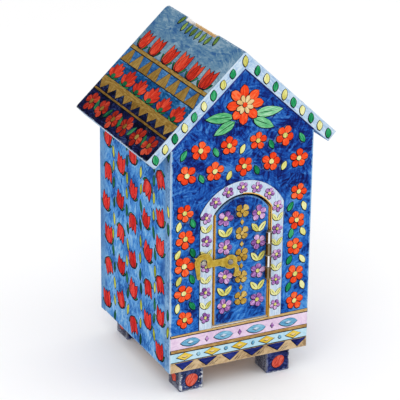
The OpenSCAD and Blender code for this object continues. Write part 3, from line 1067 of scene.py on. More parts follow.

# %% [markdown]
# Brass and steel
# Hook and hinge are stamped from sheet brass. Such metal keeps fine lines from rolling, goes brown
# where nobody touches it, and stays bright on its edges, where sleeves rub. Along the knuckles of the
# hinge a bright line is painted where the barrel faces the front and a little left: a painted
# highlight, in place of the reflection of a lamp. One group makes these effects, and the metals
# differ only in their colours and in how strong a painted highlight they show. The screw and the pin
# of the latch are plain steel.

# %% Make the metals
HIGHLIGHT_PROUD = (1.8, 2.4)  # millimetres in front of the board: what stands out this far gets the painted highlight
HIGHLIGHT_WAY = (-0.34, -0.94, 0.0)  # the way that the painted highlight along a knuckle faces: to the front and a little left
HIGHLIGHT_FACING = (0.93, 0.985)  # how well a spot has to face that way
ROLLED = (0.5, 8.0, 8.0)  # how fast the rolling lines change along and across the sheet
METAL_TONES = {  # from stained to clean, then the colour of rubbed edges and of the painted highlight, and the strength of the painted highlight
    "brass": ([(158, 126, 34), (188, 158, 58), (206, 176, 72), (226, 202, 100)], (232, 208, 118), 0.0),
    # The two hinge brasses are a dark brown: tarnish, and partly painted dark reflection. They differ in
    # their painted highlight: white on the door leaf, dimmer on the frame leaf, pin and nails.
    "brown_brass": ([(58, 38, 10), (96, 66, 22), (128, 94, 36)], (186, 176, 146), 0.55),
    "white_brass": ([(62, 40, 14), (100, 68, 28), (126, 94, 46)], (255, 255, 255), 1.0),
    "steel": ([(90, 88, 86), (128, 126, 124), (166, 164, 160), (222, 220, 216)], (222, 220, 214), 0.0),
    "nickel": ([(150, 146, 138), (182, 178, 168), (204, 200, 190)], (226, 222, 214), 0.0),
}


def worn_metal_with_highlight(tree, given):
    """Stains and rolling lines, rubbed bright edges, and a painted highlight: a bright line on what stands
    proud of the board and faces one way.
    """
    place = own_place(tree)
    stains = noise(tree, place, 0.55, 5.0, 0.6)
    rolled = noise(tree, vector_node(tree, "MULTIPLY", place, ROLLED))
    edge_share = math_node(tree, "DIVIDE", given["Rim"], given["Reach"])
    own_normal = add(tree, "ShaderNodeTexCoord").outputs["Normal"]
    facing = add(tree, "ShaderNodeVectorMath", {0: own_normal, 1: HIGHLIGHT_WAY}, operation="DOT_PRODUCT")
    # Painted highlight: bright where the metal faces the front and a little left and stands proud of the
    # board.
    highlight = math_node(tree, "MULTIPLY", spread(tree, facing.outputs["Value"], *HIGHLIGHT_FACING),
                      spread(tree, carried_parts(tree, "spot")["Z"], *HIGHLIGHT_PROUD))
    return {"Tone": blend(tree, 0.3, stains, rolled), "Lines": rolled, "Highlight": highlight,
            "Polish": spread(tree, edge_share, 0.2, 1.0, 1.0, 0.0)}


def metal(name, tones, bright, highlight):
    """A worn metal with a painted highlight. Its stains are rougher than its clean places."""
    finishes[name], tree, shader = start_material(name, Metallic=1.0)
    worn = place_group(tree, metal_group, {"Rim": carried(tree, "rim"), "Reach": 0.3})
    # Bright edges are wear; the line along the knuckles on top of them is a painted highlight.
    rubbed_and_highlit = math_node(tree, "MAXIMUM", math_node(tree, "MULTIPLY", worn["Polish"], 0.5),
                       math_node(tree, "MULTIPLY", worn["Highlight"], highlight))
    join(tree, shader,
         Base_Color=mix(tree, rubbed_and_highlit, tinted(tree, worn["Tone"], tones), colour(*bright)),
         Roughness=spread(tree, worn["Tone"], 0.35, 0.65, 0.55, 0.32),
         Normal=bump(tree, worn["Lines"], 0.25, 0.02))


metal_group = make_group("worn_metal_with_highlight", ["Rim", "Reach"], ["Tone", "Polish", "Highlight", "Lines"], worn_metal_with_highlight)
for name, (tones, bright, highlight) in METAL_TONES.items():
    metal(name, tones, bright, highlight)
print(len(METAL_TONES), "metals")

# %% [markdown]
# Hinge and latch
# The metal pieces keep the shape that CAD gave them, with their outer edges broken by a tenth of a
# millimetre, as a tumbling drum leaves stamped parts. The pivot screw also gets the slot that a
# screwdriver needs, cut with a boolean.

# %% Build the hinge and the latch
METAL_ROUND = 0.1
METAL_SEGMENTS = 2
METAL_CELL = 0.7
METAL_PIECES = (  # the piece, what it wears, the body that it rides on and its slot
    # The hinge pieces carry a painted highlight along their knuckles, white on the door leaf.
    ("hinge_frame_leaf", "brown_brass", "case", "brass"),
    ("hinge_door_leaf", "white_brass", "door", "brass"),
    ("hinge_pin", "brown_brass", "case", "brass"),
    ("hinge_frame_nails", "brown_brass", "case", "brass"),
    ("hinge_door_nails", "brown_brass", "door", "brass"),
    ("latch_washer", "brass", "door", "brass"),
    ("latch_hook", "brass", "latch_hook", "brass"),
    ("latch_keeper_pin", "nickel", "case", "steel"),
)

for node, worn, body, slot in METAL_PIECES:
    bm = cad_copy(node)
    round_edges(bm, [e for e in bm.edges if sharp(e) and e.is_convex], METAL_ROUND, METAL_SEGMENTS)
    cut_cells(bm, (FRONT.right, FRONT.up), METAL_CELL)
    make_piece(bm, node + "_metal", lambda normal, centre: worn, body, node, FRONT)

# %% Build the slotted screw
SCREW_SLOT = (6.0, 2 * 0.45, 0.5)  # length of the cutter, twice the depth of the slot, and its width
SCREW_TURN = 28  # degrees
screw_low, screw_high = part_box("latch_pivot_screw")
head_middle = Vector(((screw_low.x + screw_high.x) / 2, screw_low.y, (screw_low.z + screw_high.z) / 2))
cutter_mesh = bpy.data.meshes.new("screw_slot_cutter")
cutter_bm = bmesh.new()
bmesh.ops.create_cube(cutter_bm, size=1.0)
cutter_bm.to_mesh(cutter_mesh)
cutter_bm.free()
cutter = bpy.data.objects.new("screw_slot_cutter", cutter_mesh)
cutter.matrix_world = (Matrix.Translation(head_middle) @ Matrix.Rotation(math.radians(SCREW_TURN), 4, "Y")
                       @ Matrix.Diagonal([size * MM for size in SCREW_SLOT] + [1]))
scene.collection.objects.link(cutter)
blank = nodes["latch_pivot_screw"].copy()
blank.data = blank.data.copy()
scene.collection.objects.link(blank)
cut = blank.modifiers.new("slot", "BOOLEAN")
cut.operation = "DIFFERENCE"
cut.object = cutter
bpy.context.view_layer.update()
screw_bm = bmesh.new()
screw_bm.from_object(blank, bpy.context.evaluated_depsgraph_get())
bpy.data.objects.remove(blank)
bpy.data.objects.remove(cutter)
bmesh.ops.remove_doubles(screw_bm, verts=screw_bm.verts, dist=WELD)
make_piece(screw_bm, "latch_pivot_screw_metal", lambda normal, centre: "steel",
           "door", "latch_pivot_screw", FRONT)

# %% [markdown]
# Dabs of paint
# A motif is a set of dabs. Each dab is a thin closed shape with a rounded shoulder, a tenth of a
# millimetre high, that sinks a little into the board. Under it lies an ink dab that is a little
# larger and moved to the lower left, as a loaded pen leaves it. All the dabs of a panel go into
# one mesh with one material for each pigment.

# %% Outlines
LONG_STEP = 4.0  # spacing of points along ruled lines, in millimetres


def petal(length, width, belly=1.0, tip=0.8, steps=8):
    """A petal that grows up from the origin. A larger belly moves its widest place up."""
    side = [(0.5 * width * max(math.sin(math.pi * (i / steps) ** belly), 0) ** tip, length * i / steps)
            for i in range(steps + 1)]
    return side + [(-u, v) for u, v in reversed(side[1:-1])]


def oval(width, height, steps=16):
    return [(width / 2 * math.cos(2 * math.pi * i / steps), height / 2 * math.sin(2 * math.pi * i / steps))
            for i in range(steps)]


def closed_line(corners, spacing=1.2):
    """A closed outline through corners, with more points along its longer edges."""
    line = []
    for (u0, v0), (u1, v1) in zip(corners, corners[1:] + corners[:1]):
        count = max(1, round(math.hypot(u1 - u0, v1 - v0) / spacing))
        line += [(u0 + (u1 - u0) * i / count, v0 + (v1 - v0) * i / count) for i in range(count)]
    return line


def strip(u0, u1, v0, v1):
    return closed_line([(u0, v0), (u1, v0), (u1, v1), (u0, v1)], LONG_STEP)


def turned(line, degrees, place=(0.0, 0.0)):
    """An outline turned about the origin and moved to a place."""
    c, s = math.cos(math.radians(degrees)), math.sin(math.radians(degrees))
    return [(c * u - s * v + place[0], s * u + c * v + place[1]) for u, v in line]


def grown(line, by):
    """An outline moved outwards, or inwards where by is negative. Sharp tips grow at most double."""
    points = np.array(line)
    ahead = np.roll(points, -1, axis=0) - points
    ahead /= np.maximum(np.linalg.norm(ahead, axis=1, keepdims=True), 1e-9)
    behind = np.roll(ahead, 1, axis=0)
    normals = np.stack([ahead[:, 1] + behind[:, 1], -ahead[:, 0] - behind[:, 0]], axis=1)
    normals /= np.maximum(np.linalg.norm(normals, axis=1, keepdims=True), 1e-9)
    facing = np.stack([ahead[:, 1], -ahead[:, 0]], axis=1)
    lengths = by / np.maximum((normals * facing).sum(axis=1, keepdims=True), 0.5)
    return points + normals * lengths


print("a petal has", len(petal(5, 3)), "points")

# %% Painting on a panel
FILM = 0.05  # thickness of one film of paint, in millimetres
SUNK = 0.05
SHOULDER = 0.12
INK_SHIFT = (-0.12, -0.15)
SETTLE = 0.0015  # keeps dabs that touch from sharing one plane
DAB_CREASE = 50  # degrees


class Painting:
    """The dabs on one panel, gathered for one mesh."""

    def __init__(self, name, panel, seed, half, low, high):
        """The panel goes half that wide to both sides, and from low to high."""
        self.name, self.panel = name, panel
        self.low = np.array([-half, low]) + EDGE_ROUND
        self.high = np.array([half, high]) - EDGE_ROUND
        self.chance = random.Random(seed)
        self.points, self.faces, self.materials, self.strokes = [], [], [], []
        self.count = 0

    def shaky(self, line, amount):
        """An outline as a hand draws it, a little off along its normals."""
        turns = [(self.chance.choice((2, 3, 5)), self.chance.uniform(0, 2 * math.pi)) for _ in range(2)]
        share = np.linspace(0, 2 * math.pi, len(line), endpoint=False)
        sway = sum(np.sin(k * share + phase) for k, phase in turns) / 2
        return np.array(line) + (grown(line, 1.0) - np.array(line)).clip(-1, 1) * (sway * amount)[:, None]

    def film(self, line, name, top, along, shoulder=SHOULDER):
        """One closed film of paint with its top at the given height."""
        start, count = len(self.points), len(line)
        number = self.chance.random()
        centre = np.mean(line, axis=0)
        c, s = math.cos(math.radians(along)), math.sin(math.radians(along))
        rings = ((0.0, -SUNK), (0.0, 0.6 * top), (-0.4 * shoulder, 0.9 * top), (-shoulder, top))
        for inset, height in rings:
            ring = grown(line, inset) if inset else np.array(line)
            for u, v in ring.clip(self.low, self.high).tolist():
                du, dv = u - centre[0], v - centre[1]
                self.points.append(self.panel.at(u, v, height))
                self.strokes.append((c * du + s * dv, c * dv - s * du, number))
        sides = len(rings) - 1
        for ring in range(sides):
            low, high = start + ring * count, start + (ring + 1) * count
            for i in range(count):
                j = (i + 1) % count
                self.faces.append((low + i, low + j, high + j, high + i))
        self.faces.append(tuple(range(start + sides * count, start + len(rings) * count)))
        self.faces.append(tuple(reversed(range(start, start + count))))
        self.materials += [name] * (sides * count + 2)

    def dab(self, line, name, level=1, along=90.0, ink=0.32, shake=0.10):
        """A dab of pigment over its ink line. Dabs of a higher level lie on lower ones."""
        line = self.shaky(line, shake)
        settle = SETTLE * (self.count % 12)
        self.count += 1
        if ink:
            self.film(grown(line, ink) + np.array(INK_SHIFT), "ink", FILM * (2 * level - 1) + settle, along)
        self.film(line, name, FILM * 2 * level + settle, along)

    def build(self, body, slot):
        """The painting as a piece that moves with a body."""
        used = sorted(set(self.materials))
        mesh = bpy.data.meshes.new(self.name)
        mesh.from_pydata(self.points, [], self.faces)
        for name in used:
            mesh.materials.append(pigments[name])
        mesh.polygons.foreach_set("material_index", [used.index(name) for name in self.materials])
        set_values(mesh, "stroke", self.strokes)
        piece = show(mesh, self.name, DAB_CREASE, body)
        print(self.name, self.count, "dabs,", len(mesh.vertices), "vertices")
        return piece


print("one film is", FILM, "mm")

# %% [markdown]
# Motifs
# The flowers are the plain kinds that painted furniture has had for centuries: round blossoms,
# tulips, fans, leaves and lozenges. Each is a short function that places its dabs, so that a
# lattice or a border only has to say where they go. A hand never paints a flower twice the same,
# so sizes and turns vary a little by the painting's own seeded chance.

# %% Draw the flowers
def petal_dab(art, line, angle, foot, name, level=1, ink=0.32):
    """A dab in the shape of a petal that grows from its foot, turned by an angle."""
    art.dab(turned(line, angle, foot), name, level, along=angle + 90, ink=ink)


def blossom(art, u, v, radius, name, petals=5, turn=0.0, eye="lemon", level=1, ink=0.33):
    """A round flower whose petals stand a little apart, with an eye."""
    widest = 0.66 * radius  # how far from the middle a petal is widest
    room = 2 * widest * math.sin(math.pi / petals)
    for k in range(petals):
        angle = turn + 360 * k / petals + art.chance.uniform(-6, 6)
        size = art.chance.uniform(0.88, 1.08)
        line = petal(0.88 * radius * size, room - 0.3, belly=1.5, tip=0.58)
        foot = turned([(0, 0.12 * radius)], angle, (u, v))[0]
        petal_dab(art, line, angle, foot, name, level, ink)
    art.dab(turned(oval(0.52 * radius, 0.52 * radius, 12), 0, (u, v)), eye, level + 1, ink=0.7 * ink)


def tulip(art, u, v, height, name, lean=0.0, leaf="deep_green", ink=0.33):
    """A tulip whose cup stands on the place, with a pair of leaves under it."""
    height *= art.chance.uniform(0.93, 1.06)
    leaf_line = petal(0.6 * height, 0.22 * height, belly=0.9)
    for turn in (62, -62):
        petal_dab(art, leaf_line, lean + turn, (u, v), leaf, 1, ink)
    for turn, long, level in ((22, 0.95, 2), (-22, 0.95, 2), (0, 0.84, 3)):
        line = petal(long * height, 0.5 * height, belly=0.62, tip=0.85)
        petal_dab(art, line, lean + turn, (u, v), name, level, ink)


def fan(art, u, v, height, name, lean=0.0, leaf="deep_green", ink=0.26):
    """A fan of petals that stands on the place, as on old tiles, with a leaf on each side."""
    height *= art.chance.uniform(0.93, 1.06)
    leaf_line = petal(0.58 * height, 0.24 * height, belly=0.9)
    for turn in (84, -84):
        petal_dab(art, leaf_line, lean + turn, (u, v), leaf, 1, ink)
    for turn in (54, -54, 27, -27, 0):
        long = 0.98 - 0.0022 * abs(turn)
        line = petal(long * height, 0.36 * height, belly=1.5, tip=0.6)
        petal_dab(art, line, lean + turn, (u, v), name, 2, ink)
    art.dab(turned(oval(0.4 * height, 0.3 * height, 12), lean, (u, v + 0.12 * height)), leaf, 3, ink=ink)


print("flowers ready")

# %% Draw the small marks
def leaf_mark(art, u, v, length, width, name, lean=0.0, level=1, ink=0.36, vein=0.0):
    """A leaf about a place. A vein is an ink line of the given width along its middle."""
    line = [(a, b - length / 2) for a, b in petal(length, width, belly=0.95, tip=0.7)]
    petal_dab(art, line, lean, (u, v), name, level, ink)
    if vein:
        line = [(a, b - 0.36 * length) for a, b in petal(0.72 * length, vein)]
        art.film(turned(line, lean, (u, v)), "ink", FILM * (2 * level + 0.6), lean + 90, 0.3 * vein)


def leaf_pair(art, u, v, length, width, lean, apart, level, ink, vein):
    """Two yellow leaves that lean away from each other."""
    for way in (1, -1):
        leaf_mark(art, u - way * apart, v, length, width, "lemon", way * lean, level, ink, vein)


def lozenge(art, u, v, width, height, name, level=1, ink=0.28):
    corners = [(width / 2, 0), (0, height / 2), (-width / 2, 0), (0, -height / 2)]
    art.dab(turned(closed_line(corners), 0, (u, v)), name, level, along=0, ink=ink, shake=0.06)


print("small marks ready")

# %% Let chance into the hand
PETAL_TURN = 72  # degrees from one of five petals to the next


def loosely(art, u, v, by=0.8):
    """A place that a hand would hit when it aims at u and v."""
    return u + art.chance.uniform(-by, by), v + art.chance.uniform(-by, by)


def any_turn(art):
    """A turn for a flower with five petals."""
    return art.chance.uniform(0, PETAL_TURN)


def spaced(count, step):
    """Places with one step between them, about the middle."""
    return [step * (k - (count - 1) / 2) for k in range(count)]


print("three places 10 mm apart:", spaced(3, 10.0))

# %% [markdown]
# The front painting
# Round red blossoms climb both sides of the door and fill two staggered rows above it. Green and
# yellow leaves lie between them. A large rosette fills the gable, and a pale band with a running
# border of violets follows the arch, with an ochre line beside the opening on the right. That ochre
# line is painted light: it stands in for the lit wood of the gap there, which lies in shade. The
# barge boards get a row of leaves in two colours.

# %% Paint the band round the door
BAND_W = 7.0
BAND_STEP = 3.0  # spacing of points along the band
OCHRE_W = 0.5  # width of the ochre line on the right of the opening, painted light for the lit wood of the shaded gap
front_art = Painting("front_painting", FRONT, 11, eave_x, 0, ridge_h)


def door_frame(margin):
    """A line up the right side of the opening, over the arch and down the left side."""
    reach = opening_half + margin
    return [(reach, GOLD_TOP)] + arch_line(margin) + [(-reach, GOLD_TOP)]


band = door_frame(BAND_W) + door_frame(OPENING_ROUND)[::-1]
front_art.dab(closed_line(band, BAND_STEP), "powder_blue", ink=0.3, shake=0.05)
RIGHT_HALF = ARCH_STEPS + 2  # points of a frame line up to the top of the arch
near_line = door_frame(OPENING_ROUND)[:RIGHT_HALF]
far_line = door_frame(OPENING_ROUND + OCHRE_W)[:RIGHT_HALF]
# Painted light: an ochre line that stands in for the lit wood of the shaded gap on the right.
front_art.film(closed_line(far_line + near_line[::-1], BAND_STEP), "ochre", 2.8 * FILM, 90, 0.1)
print("band round the door,", front_art.count, "dab")

# %% Paint the blossoms on the front
TWO_LEAVES = ("leaf_green", "lemon")
BESIDE_COLUMN = (-3.5, 3.6)  # how far from the middle of the column these leaves lie
BLOSSOM = 5.2  # radius, as all sizes of blossoms here
COLUMN_FOOT = 27.8  # height of the lowest blossoms beside the door
COLUMN_STEP = 14.2
COLUMN_COUNT = 5
ROWS = (  # height and places of the blossoms over the door
    (102.6, (-29.5, -14.8, 0.0, 14.8, 29.5)),
    (114.8, (-22.4, -7.5, 7.5, 22.4)),
)
ROW_BLOSSOMS = (4.5, 5.2)  # smallest and largest
UNDER_ROW = 2.6  # how far below a row its leaves lie
ROW_END = (31.5, 113.0)  # single leaves beyond the ends of the upper row
column = (half_w + opening_half + BAND_W) / 2
for side in (-1, 1):
    for k in range(COLUMN_COUNT):
        u, v = loosely(front_art, side * column, COLUMN_FOOT + COLUMN_STEP * k, 1.1)
        radius = BLOSSOM * front_art.chance.uniform(0.86, 1.06)
        blossom(front_art, u, v, radius, "poppy_red", turn=any_turn(front_art))
        if k < COLUMN_COUNT - 1:
            for across, name in zip(BESIDE_COLUMN, TWO_LEAVES):
                leaf_v = COLUMN_FOOT + COLUMN_STEP * (k + 0.5)
                u, v = loosely(front_art, side * (column + across), leaf_v, 0.5)
                lean = side * 6 * across + front_art.chance.uniform(-14, 14)
                leaf_mark(front_art, u, v, 5.2, 2.6, name, lean)
for row_v, places in ROWS:
    for u in places:
        blossom(front_art, *loosely(front_art, u, row_v), front_art.chance.uniform(*ROW_BLOSSOMS),
                "poppy_red", turn=any_turn(front_art))
    for k, u in enumerate(places[:-1]):
        middle = loosely(front_art, (u + places[k + 1]) / 2, row_v - UNDER_ROW, 0.6)
        leaf_mark(front_art, *middle, 5.0, 2.5, TWO_LEAVES[k % 2], 25 - 50 * (k % 2))
for side in (-1, 1):
    leaf_mark(front_art, side * ROW_END[0], ROW_END[1], 5.6, 2.6, "leaf_green", 30 * side)
print("front so far", front_art.count, "dabs")

# %% Paint the gable and the arch border
GABLE_V = 134.0
GABLE_LEAVES = ((116, 12.0), (88, 15.0))  # lean and length
GABLE_LEAF_W = 5.0
LEAF_FOOT = 5.5
ROSETTE = (9.6, 5.0)  # radii of its two rings of petals
ROSETTE_PETALS = 8
LEG_VIOLETS = (27.0, 40.5, 54.0, 67.5, 79.5)  # heights on the upright parts of the band
LEG_LEAVES = (33.7, 47.2, 60.7, 73.8)
BAND_VIOLET = 3.0
for side in (-1, 1):
    for lean, length in GABLE_LEAVES:
        foot = turned([(0, LEAF_FOOT)], side * lean, (0, GABLE_V - LEAF_FOOT))[0]
        leaf = petal(length, GABLE_LEAF_W, belly=0.85, tip=0.75)
        petal_dab(front_art, leaf, side * lean, foot, "pale_green")
        front_art.film(turned(petal(0.86 * length, 0.5), side * lean, foot), "deep_green", 2.8 * FILM,
                       side * lean + 90, 0.1)
blossom(front_art, 0, GABLE_V, ROSETTE[0], "poppy_red", petals=ROSETTE_PETALS, eye="cream", level=2, ink=0.34)
blossom(front_art, 0, GABLE_V, ROSETTE[1], "cream", petals=ROSETTE_PETALS, turn=180 / ROSETTE_PETALS,
        eye="poppy_red", level=4, ink=0.22)

band_mid = BAND_W / 2 + 0.3
legs = [(opening_half + band_mid, v) for v in LEG_VIOLETS]
over = arch_line(band_mid, 6)[2:-2:2]
for u, v in legs + over + mirrored(legs):
    blossom(front_art, u, v, BAND_VIOLET, "violet", turn=any_turn(front_art), level=2, ink=0.2)
for side in (-1, 1):
    for v in LEG_LEAVES:
        leaf_pair(front_art, side * (opening_half + band_mid), v, 4.8, 2.2, 35, 1.5, 2, 0.2, 0.3)
print("front so far", front_art.count, "dabs")

# %% Paint the bands
BAND_END = half_w - 0.5
GOLD_INK = 0.36
LENSES = 4
LENS_STEP = 18.0
LENS_SIZE = (10.4, 4.2)
LENS_EYE = (3.6, 1.5)
LOZENGES = 5
LOZENGE_STEP = 15.0
LOZENGE_SIZE = (8.6, 4.0)
LOZENGE_EYE = (3.0, 1.3)
SKY_DOT = 1.8
tapered = [(-BAND_END, LILAC_TOP - 0.3), (BAND_END, LILAC_TOP),
           (BAND_END, GOLD_TOP + GOLD_TAPER), (-BAND_END, GOLD_TOP - GOLD_TAPER)]
level_line = strip(-BAND_END, BAND_END, SKY_TOP - 0.7, SKY_TOP + 0.8)
for line in (closed_line(tapered, LONG_STEP), level_line):
    front_art.dab(line, "gold_line", along=0, ink=GOLD_INK, shake=0.08)
front_art.film(strip(-BAND_END, BAND_END, TAN_TOP - 0.2, TAN_TOP + 0.2), "ink", FILM, 0)
lilac_mid = (SKY_TOP + LILAC_TOP) / 2
for k, u in enumerate(spaced(LENSES, LENS_STEP)):
    leaf_mark(front_art, u, lilac_mid, *LENS_SIZE, "water_blue", 90, ink=0.24)
    lozenge(front_art, u, lilac_mid, *LENS_EYE, "powder_blue", level=2, ink=0.14)
    if k < LENSES - 1:
        lozenge(front_art, u + LENS_STEP / 2, lilac_mid, 2.0, 2.8, "violet", ink=0.18)
sky_mid = (TAN_TOP + SKY_TOP) / 2 - 0.3
for k, u in enumerate(spaced(LOZENGES, LOZENGE_STEP)):
    lozenge(front_art, u, sky_mid, *LOZENGE_SIZE, "sun_yellow", ink=0.24)
    lozenge(front_art, u, sky_mid, *LOZENGE_EYE, "cream", level=2, ink=0.12)
    if k < LOZENGES - 1:
        dot = turned(oval(SKY_DOT, SKY_DOT, 10), 0, (u + LOZENGE_STEP / 2, sky_mid))
        front_art.dab(dot, "water_blue", ink=0.18)
print("front so far", front_art.count, "dabs")

# %% Paint the teeth at the foot
TEETH = 6
LAST_REACH = 4.0  # half the width of the last tooth, which has less room
TOOTH_TOP = TAN_TOP - 0.5
TOOTH_TIP = 1.4
PEN_STROKES = 3  # thin slanting strokes beside each tooth, where the brush was wiped
PEN_FOOT = 0.7
PEN_SLANT = -48
for k in range(TEETH):
    u = -half_w + (k + 0.62) * 2 * half_w / TEETH
    reach = front_art.chance.uniform(4.4, 5.8)
    if k == TEETH - 1:
        reach = LAST_REACH
    tip = u + front_art.chance.uniform(-0.9, 0.9)
    tooth = closed_line([(u - reach, TOOTH_TOP), (tip, TOOTH_TIP), (u + reach, TOOTH_TOP)])
    front_art.dab(tooth, "navy", along=0, ink=0.22)
    for stroke in range(PEN_STROKES):
        start = (tip + 1.6 + stroke + front_art.chance.uniform(-0.3, 0.3), PEN_FOOT)
        line = petal(front_art.chance.uniform(2.6, 4.2), 0.24, steps=4)
        if k < TEETH - 1:
            front_art.film(turned(line, PEN_SLANT, start), "ink", 0.8 * FILM, PEN_SLANT + 90, 0.05)
print("front so far", front_art.count, "dabs")

# %% Paint the barge boards
BARGE_LEAVES = 10
LINE_W = 0.7  # width of the ink line under the barge boards
paintings = {}  # by the board that they lie on


def under_barge(side, far, down):
    """A place on the front by its distance down the slope and below the roof boards."""
    u = far * math.cos(pitch) - down * math.sin(pitch)
    return side * u, ridge_h - far * math.sin(pitch) - down * math.cos(pitch)


line_start = thick / math.tan(math.pi / 2 - pitch)
line_end = (half_w + thick * math.sin(pitch)) / math.cos(pitch)
line_corners = ((line_start, 0), (line_end, 0), (line_end, LINE_W), (line_start + LINE_W, LINE_W))
for side in (-1, 1):
    for k in range(BARGE_LEAVES):
        u, v = under_barge(side, (k + 0.72) * slope_l / (BARGE_LEAVES + 0.25), thick / 2)
        if abs(u) > 2.0:
            leaf_mark(front_art, u, v, front_art.chance.uniform(4.5, 5.2), front_art.chance.uniform(2.7, 3.1),
                      TWO_LEAVES[(k + 1) % 2], front_art.chance.uniform(-12, 12))
    line = [under_barge(side, far, thick + down) for far, down in line_corners]
    line = closed_line(line if side < 0 else line[::-1], LONG_STEP)
    front_art.film(line, "navy", FILM, 90 - side * math.degrees(pitch))
leaf_mark(front_art, 0, ridge_h - 4.6, 5.4, 2.6, "lemon")
paintings["front_board"] = front_art.build("case", "front_paint")

# %% [markdown]
# The door painting
# A chain of gold quatrefoils runs down the middle of the door, with violets and yellow leaves on
# both sides. It moves with the door, so it is a painting of its own.

# %% Paint the door
DOOR_COLUMN = 9.0
QUATREFOIL = 3.9
QUATREFOILS = (34.0, 45.5, 57.0, 68.5, 80.0)  # heights above the foot of the body
LINK_UP = 5.75  # how far above a quatrefoil the lozenge of the chain lies
DOOR_VIOLET = 4.1
DOOR_VIOLETS = (31.5, 47.0, 62.5, 77.5)
DOOR_LEAVES = (39.2, 54.7, 70.2)
door_art = Painting("door_painting", FRONT, 12, door_half, sill_h, arch_top)
for k, v in enumerate(QUATREFOILS):
    blossom(door_art, 0, v, QUATREFOIL, "old_gold", petals=4, turn=45, eye="old_gold", ink=0.26)
    if k < len(QUATREFOILS) - 1:
        lozenge(door_art, 0, v + LINK_UP, 2.0, 3.0, "old_gold", ink=0.2)
for side in (-1, 1):
    for v in DOOR_VIOLETS:
        blossom(door_art, side * DOOR_COLUMN, v, DOOR_VIOLET, "violet", turn=any_turn(door_art), ink=0.24)
    for v in DOOR_LEAVES:
        leaf_pair(door_art, side * DOOR_COLUMN, v, 6.0, 2.7, 38, 1.9, 1, 0.26, 0.34)
paintings["door"] = door_art.build("door", "front_paint")

# %% [markdown]
# Sides and back
# The sides carry tulips in a half-drop lattice, which is how printed cotton repeats: every second
# column sits half a step lower. Some stand and some hang, as if tossed. Narrow leaves fill the gaps.

# %% Paint the sides and the back
SIDE_HALF = depth / 2 - PAINT_ROOM
STEP_U = 16.4
STEP_V = 18.0
LATTICE_FOOT = 8.5
TULIP = 10.8
LEAF_ROOM = 3.4
SIDE_LEAVES = ("deep_green", "olive_yellow")


def tulip_lattice(art, half, top, room):
    """Tulips in a half-drop lattice on a panel, wherever room(u, v, reach) says that there is room."""
    columns = int(half / STEP_U)
    for i in range(-columns, columns + 1):
        for k in range(int(top / STEP_V) + 1):
            row = k + 0.5 * (i % 2)
            u, v = loosely(art, i * STEP_U, LATTICE_FOOT + row * STEP_V, 1.8)
            lean = art.chance.uniform(-26, 26) + (180 if (2 * i + k) % 3 == 0 else 0)
            if room(u, v, 0.5 * TULIP):
                tulip(art, *turned([(0, -0.45 * TULIP)], lean, (u, v))[0], TULIP, "crimson", lean)
            u, v = loosely(art, (i + 0.5) * STEP_U, LATTICE_FOOT + (row - 0.25) * STEP_V, 1.0)
            for n, (up, length, width) in enumerate(((0, 6.4, 2.2), (STEP_V / 2, 5.8, 2.1))):
                if room(u, v + up, LEAF_ROOM):
                    leaf_mark(art, u, v + up, length, width, SIDE_LEAVES[(i + k + n) % 2],
                              art.chance.uniform(-14, 14))


def side_room(u, v, reach):
    return abs(u) + reach < depth / 2 + 1 and v + reach < wall_h + 4


def back_room(u, v, reach):
    roof_line = apex_h - (abs(u) + 0.7 * reach) * math.tan(pitch)
    return abs(u) + 0.9 * reach < half_w and v + reach < roof_line


SIDES = (
    ("left_wall", "left_painting", LEFT, 21, SIDE_HALF, wall_h, side_room),
    ("right_wall", "right_painting", RIGHT, 22, SIDE_HALF, wall_h, side_room),
    ("back_board", "back_painting", BACK, 23, half_w, apex_h, back_room),
)
for node, name, panel, seed, half, top, room in SIDES:
    art = Painting(name, panel, seed, half, 0, top)
    tulip_lattice(art, half, top, room)
    paintings[node] = art.build("case", "side_paint")

# %% [markdown]
# The roof painting
# Two tan bands with teeth cross each slope, an old border that needs only a ruler. Red tulips stand
# on the upper band and fans on the lower one, round blossoms line the eave, and small leaves line
# the coin slot and go round its ends.

# %% Paint the roof
ROOF_HALF = depth / 2 - 0.7
SLOT_LEAVES = 8
SLOT_LEAF = (5.4, 2.5)
UPPER_BAND = (-28.4, -26.6)  # heights on the slope, down from the ridge
UPPER_TEETH = (-36.2, -28.9)
LOWER_BAND = (-50.2, -47.2)
LOWER_TEETH = (-54.2, -50.0)
LOWEST_LINE = (-55.7, -54.7)
TULIP_ROW = (-26.3, 12.0)  # foot and height of the flowers
FAN_ROW = (-46.6, 9.2)
EAVE_BLOSSOMS = -62.4
EAVE_BLOSSOM = 5.7
EAVE_LEAVES = -62.0
ROOF_FLOWERS = 6
BROAD_TEETH = 8
TOOTH_END = 1.1  # half the width of a broad tooth at its blunt end
SMALL_TEETH = 9


def along_roof(count):
    """Places for a number of marks across the roof, with half a step free at both ends."""
    return [-ROOF_HALF + (k + 0.5) * 2 * ROOF_HALF / count for k in range(count)]


def tan_line(art, low, high, ink=0.3):
    art.dab(strip(-ROOF_HALF, ROOF_HALF, low, high), "roof_tan", along=0, ink=ink, shake=0.05)


def toothed_bands(art):
    """An upper band with broad teeth that point up, and a lower one with small teeth that point down."""
    tan_line(art, *UPPER_BAND)
    reach = ROOF_HALF / BROAD_TEETH - 0.15
    low, high = UPPER_TEETH
    for u in along_roof(BROAD_TEETH):
        corners = [(u - reach, low), (u + reach, low), (u + TOOTH_END, high), (u - TOOTH_END, high)]
        art.dab(closed_line(corners), "roof_tan", along=90, ink=0.3)
    tan_line(art, *LOWER_BAND)
    reach = ROOF_HALF / SMALL_TEETH
    low, high = LOWER_TEETH
    for u in along_roof(SMALL_TEETH):
        corners = [(u, low), (u + reach, high), (u - reach, high)]
        art.dab(closed_line(corners), "roof_tan", along=90, ink=0.26)
    tan_line(art, *LOWEST_LINE, 0.28)


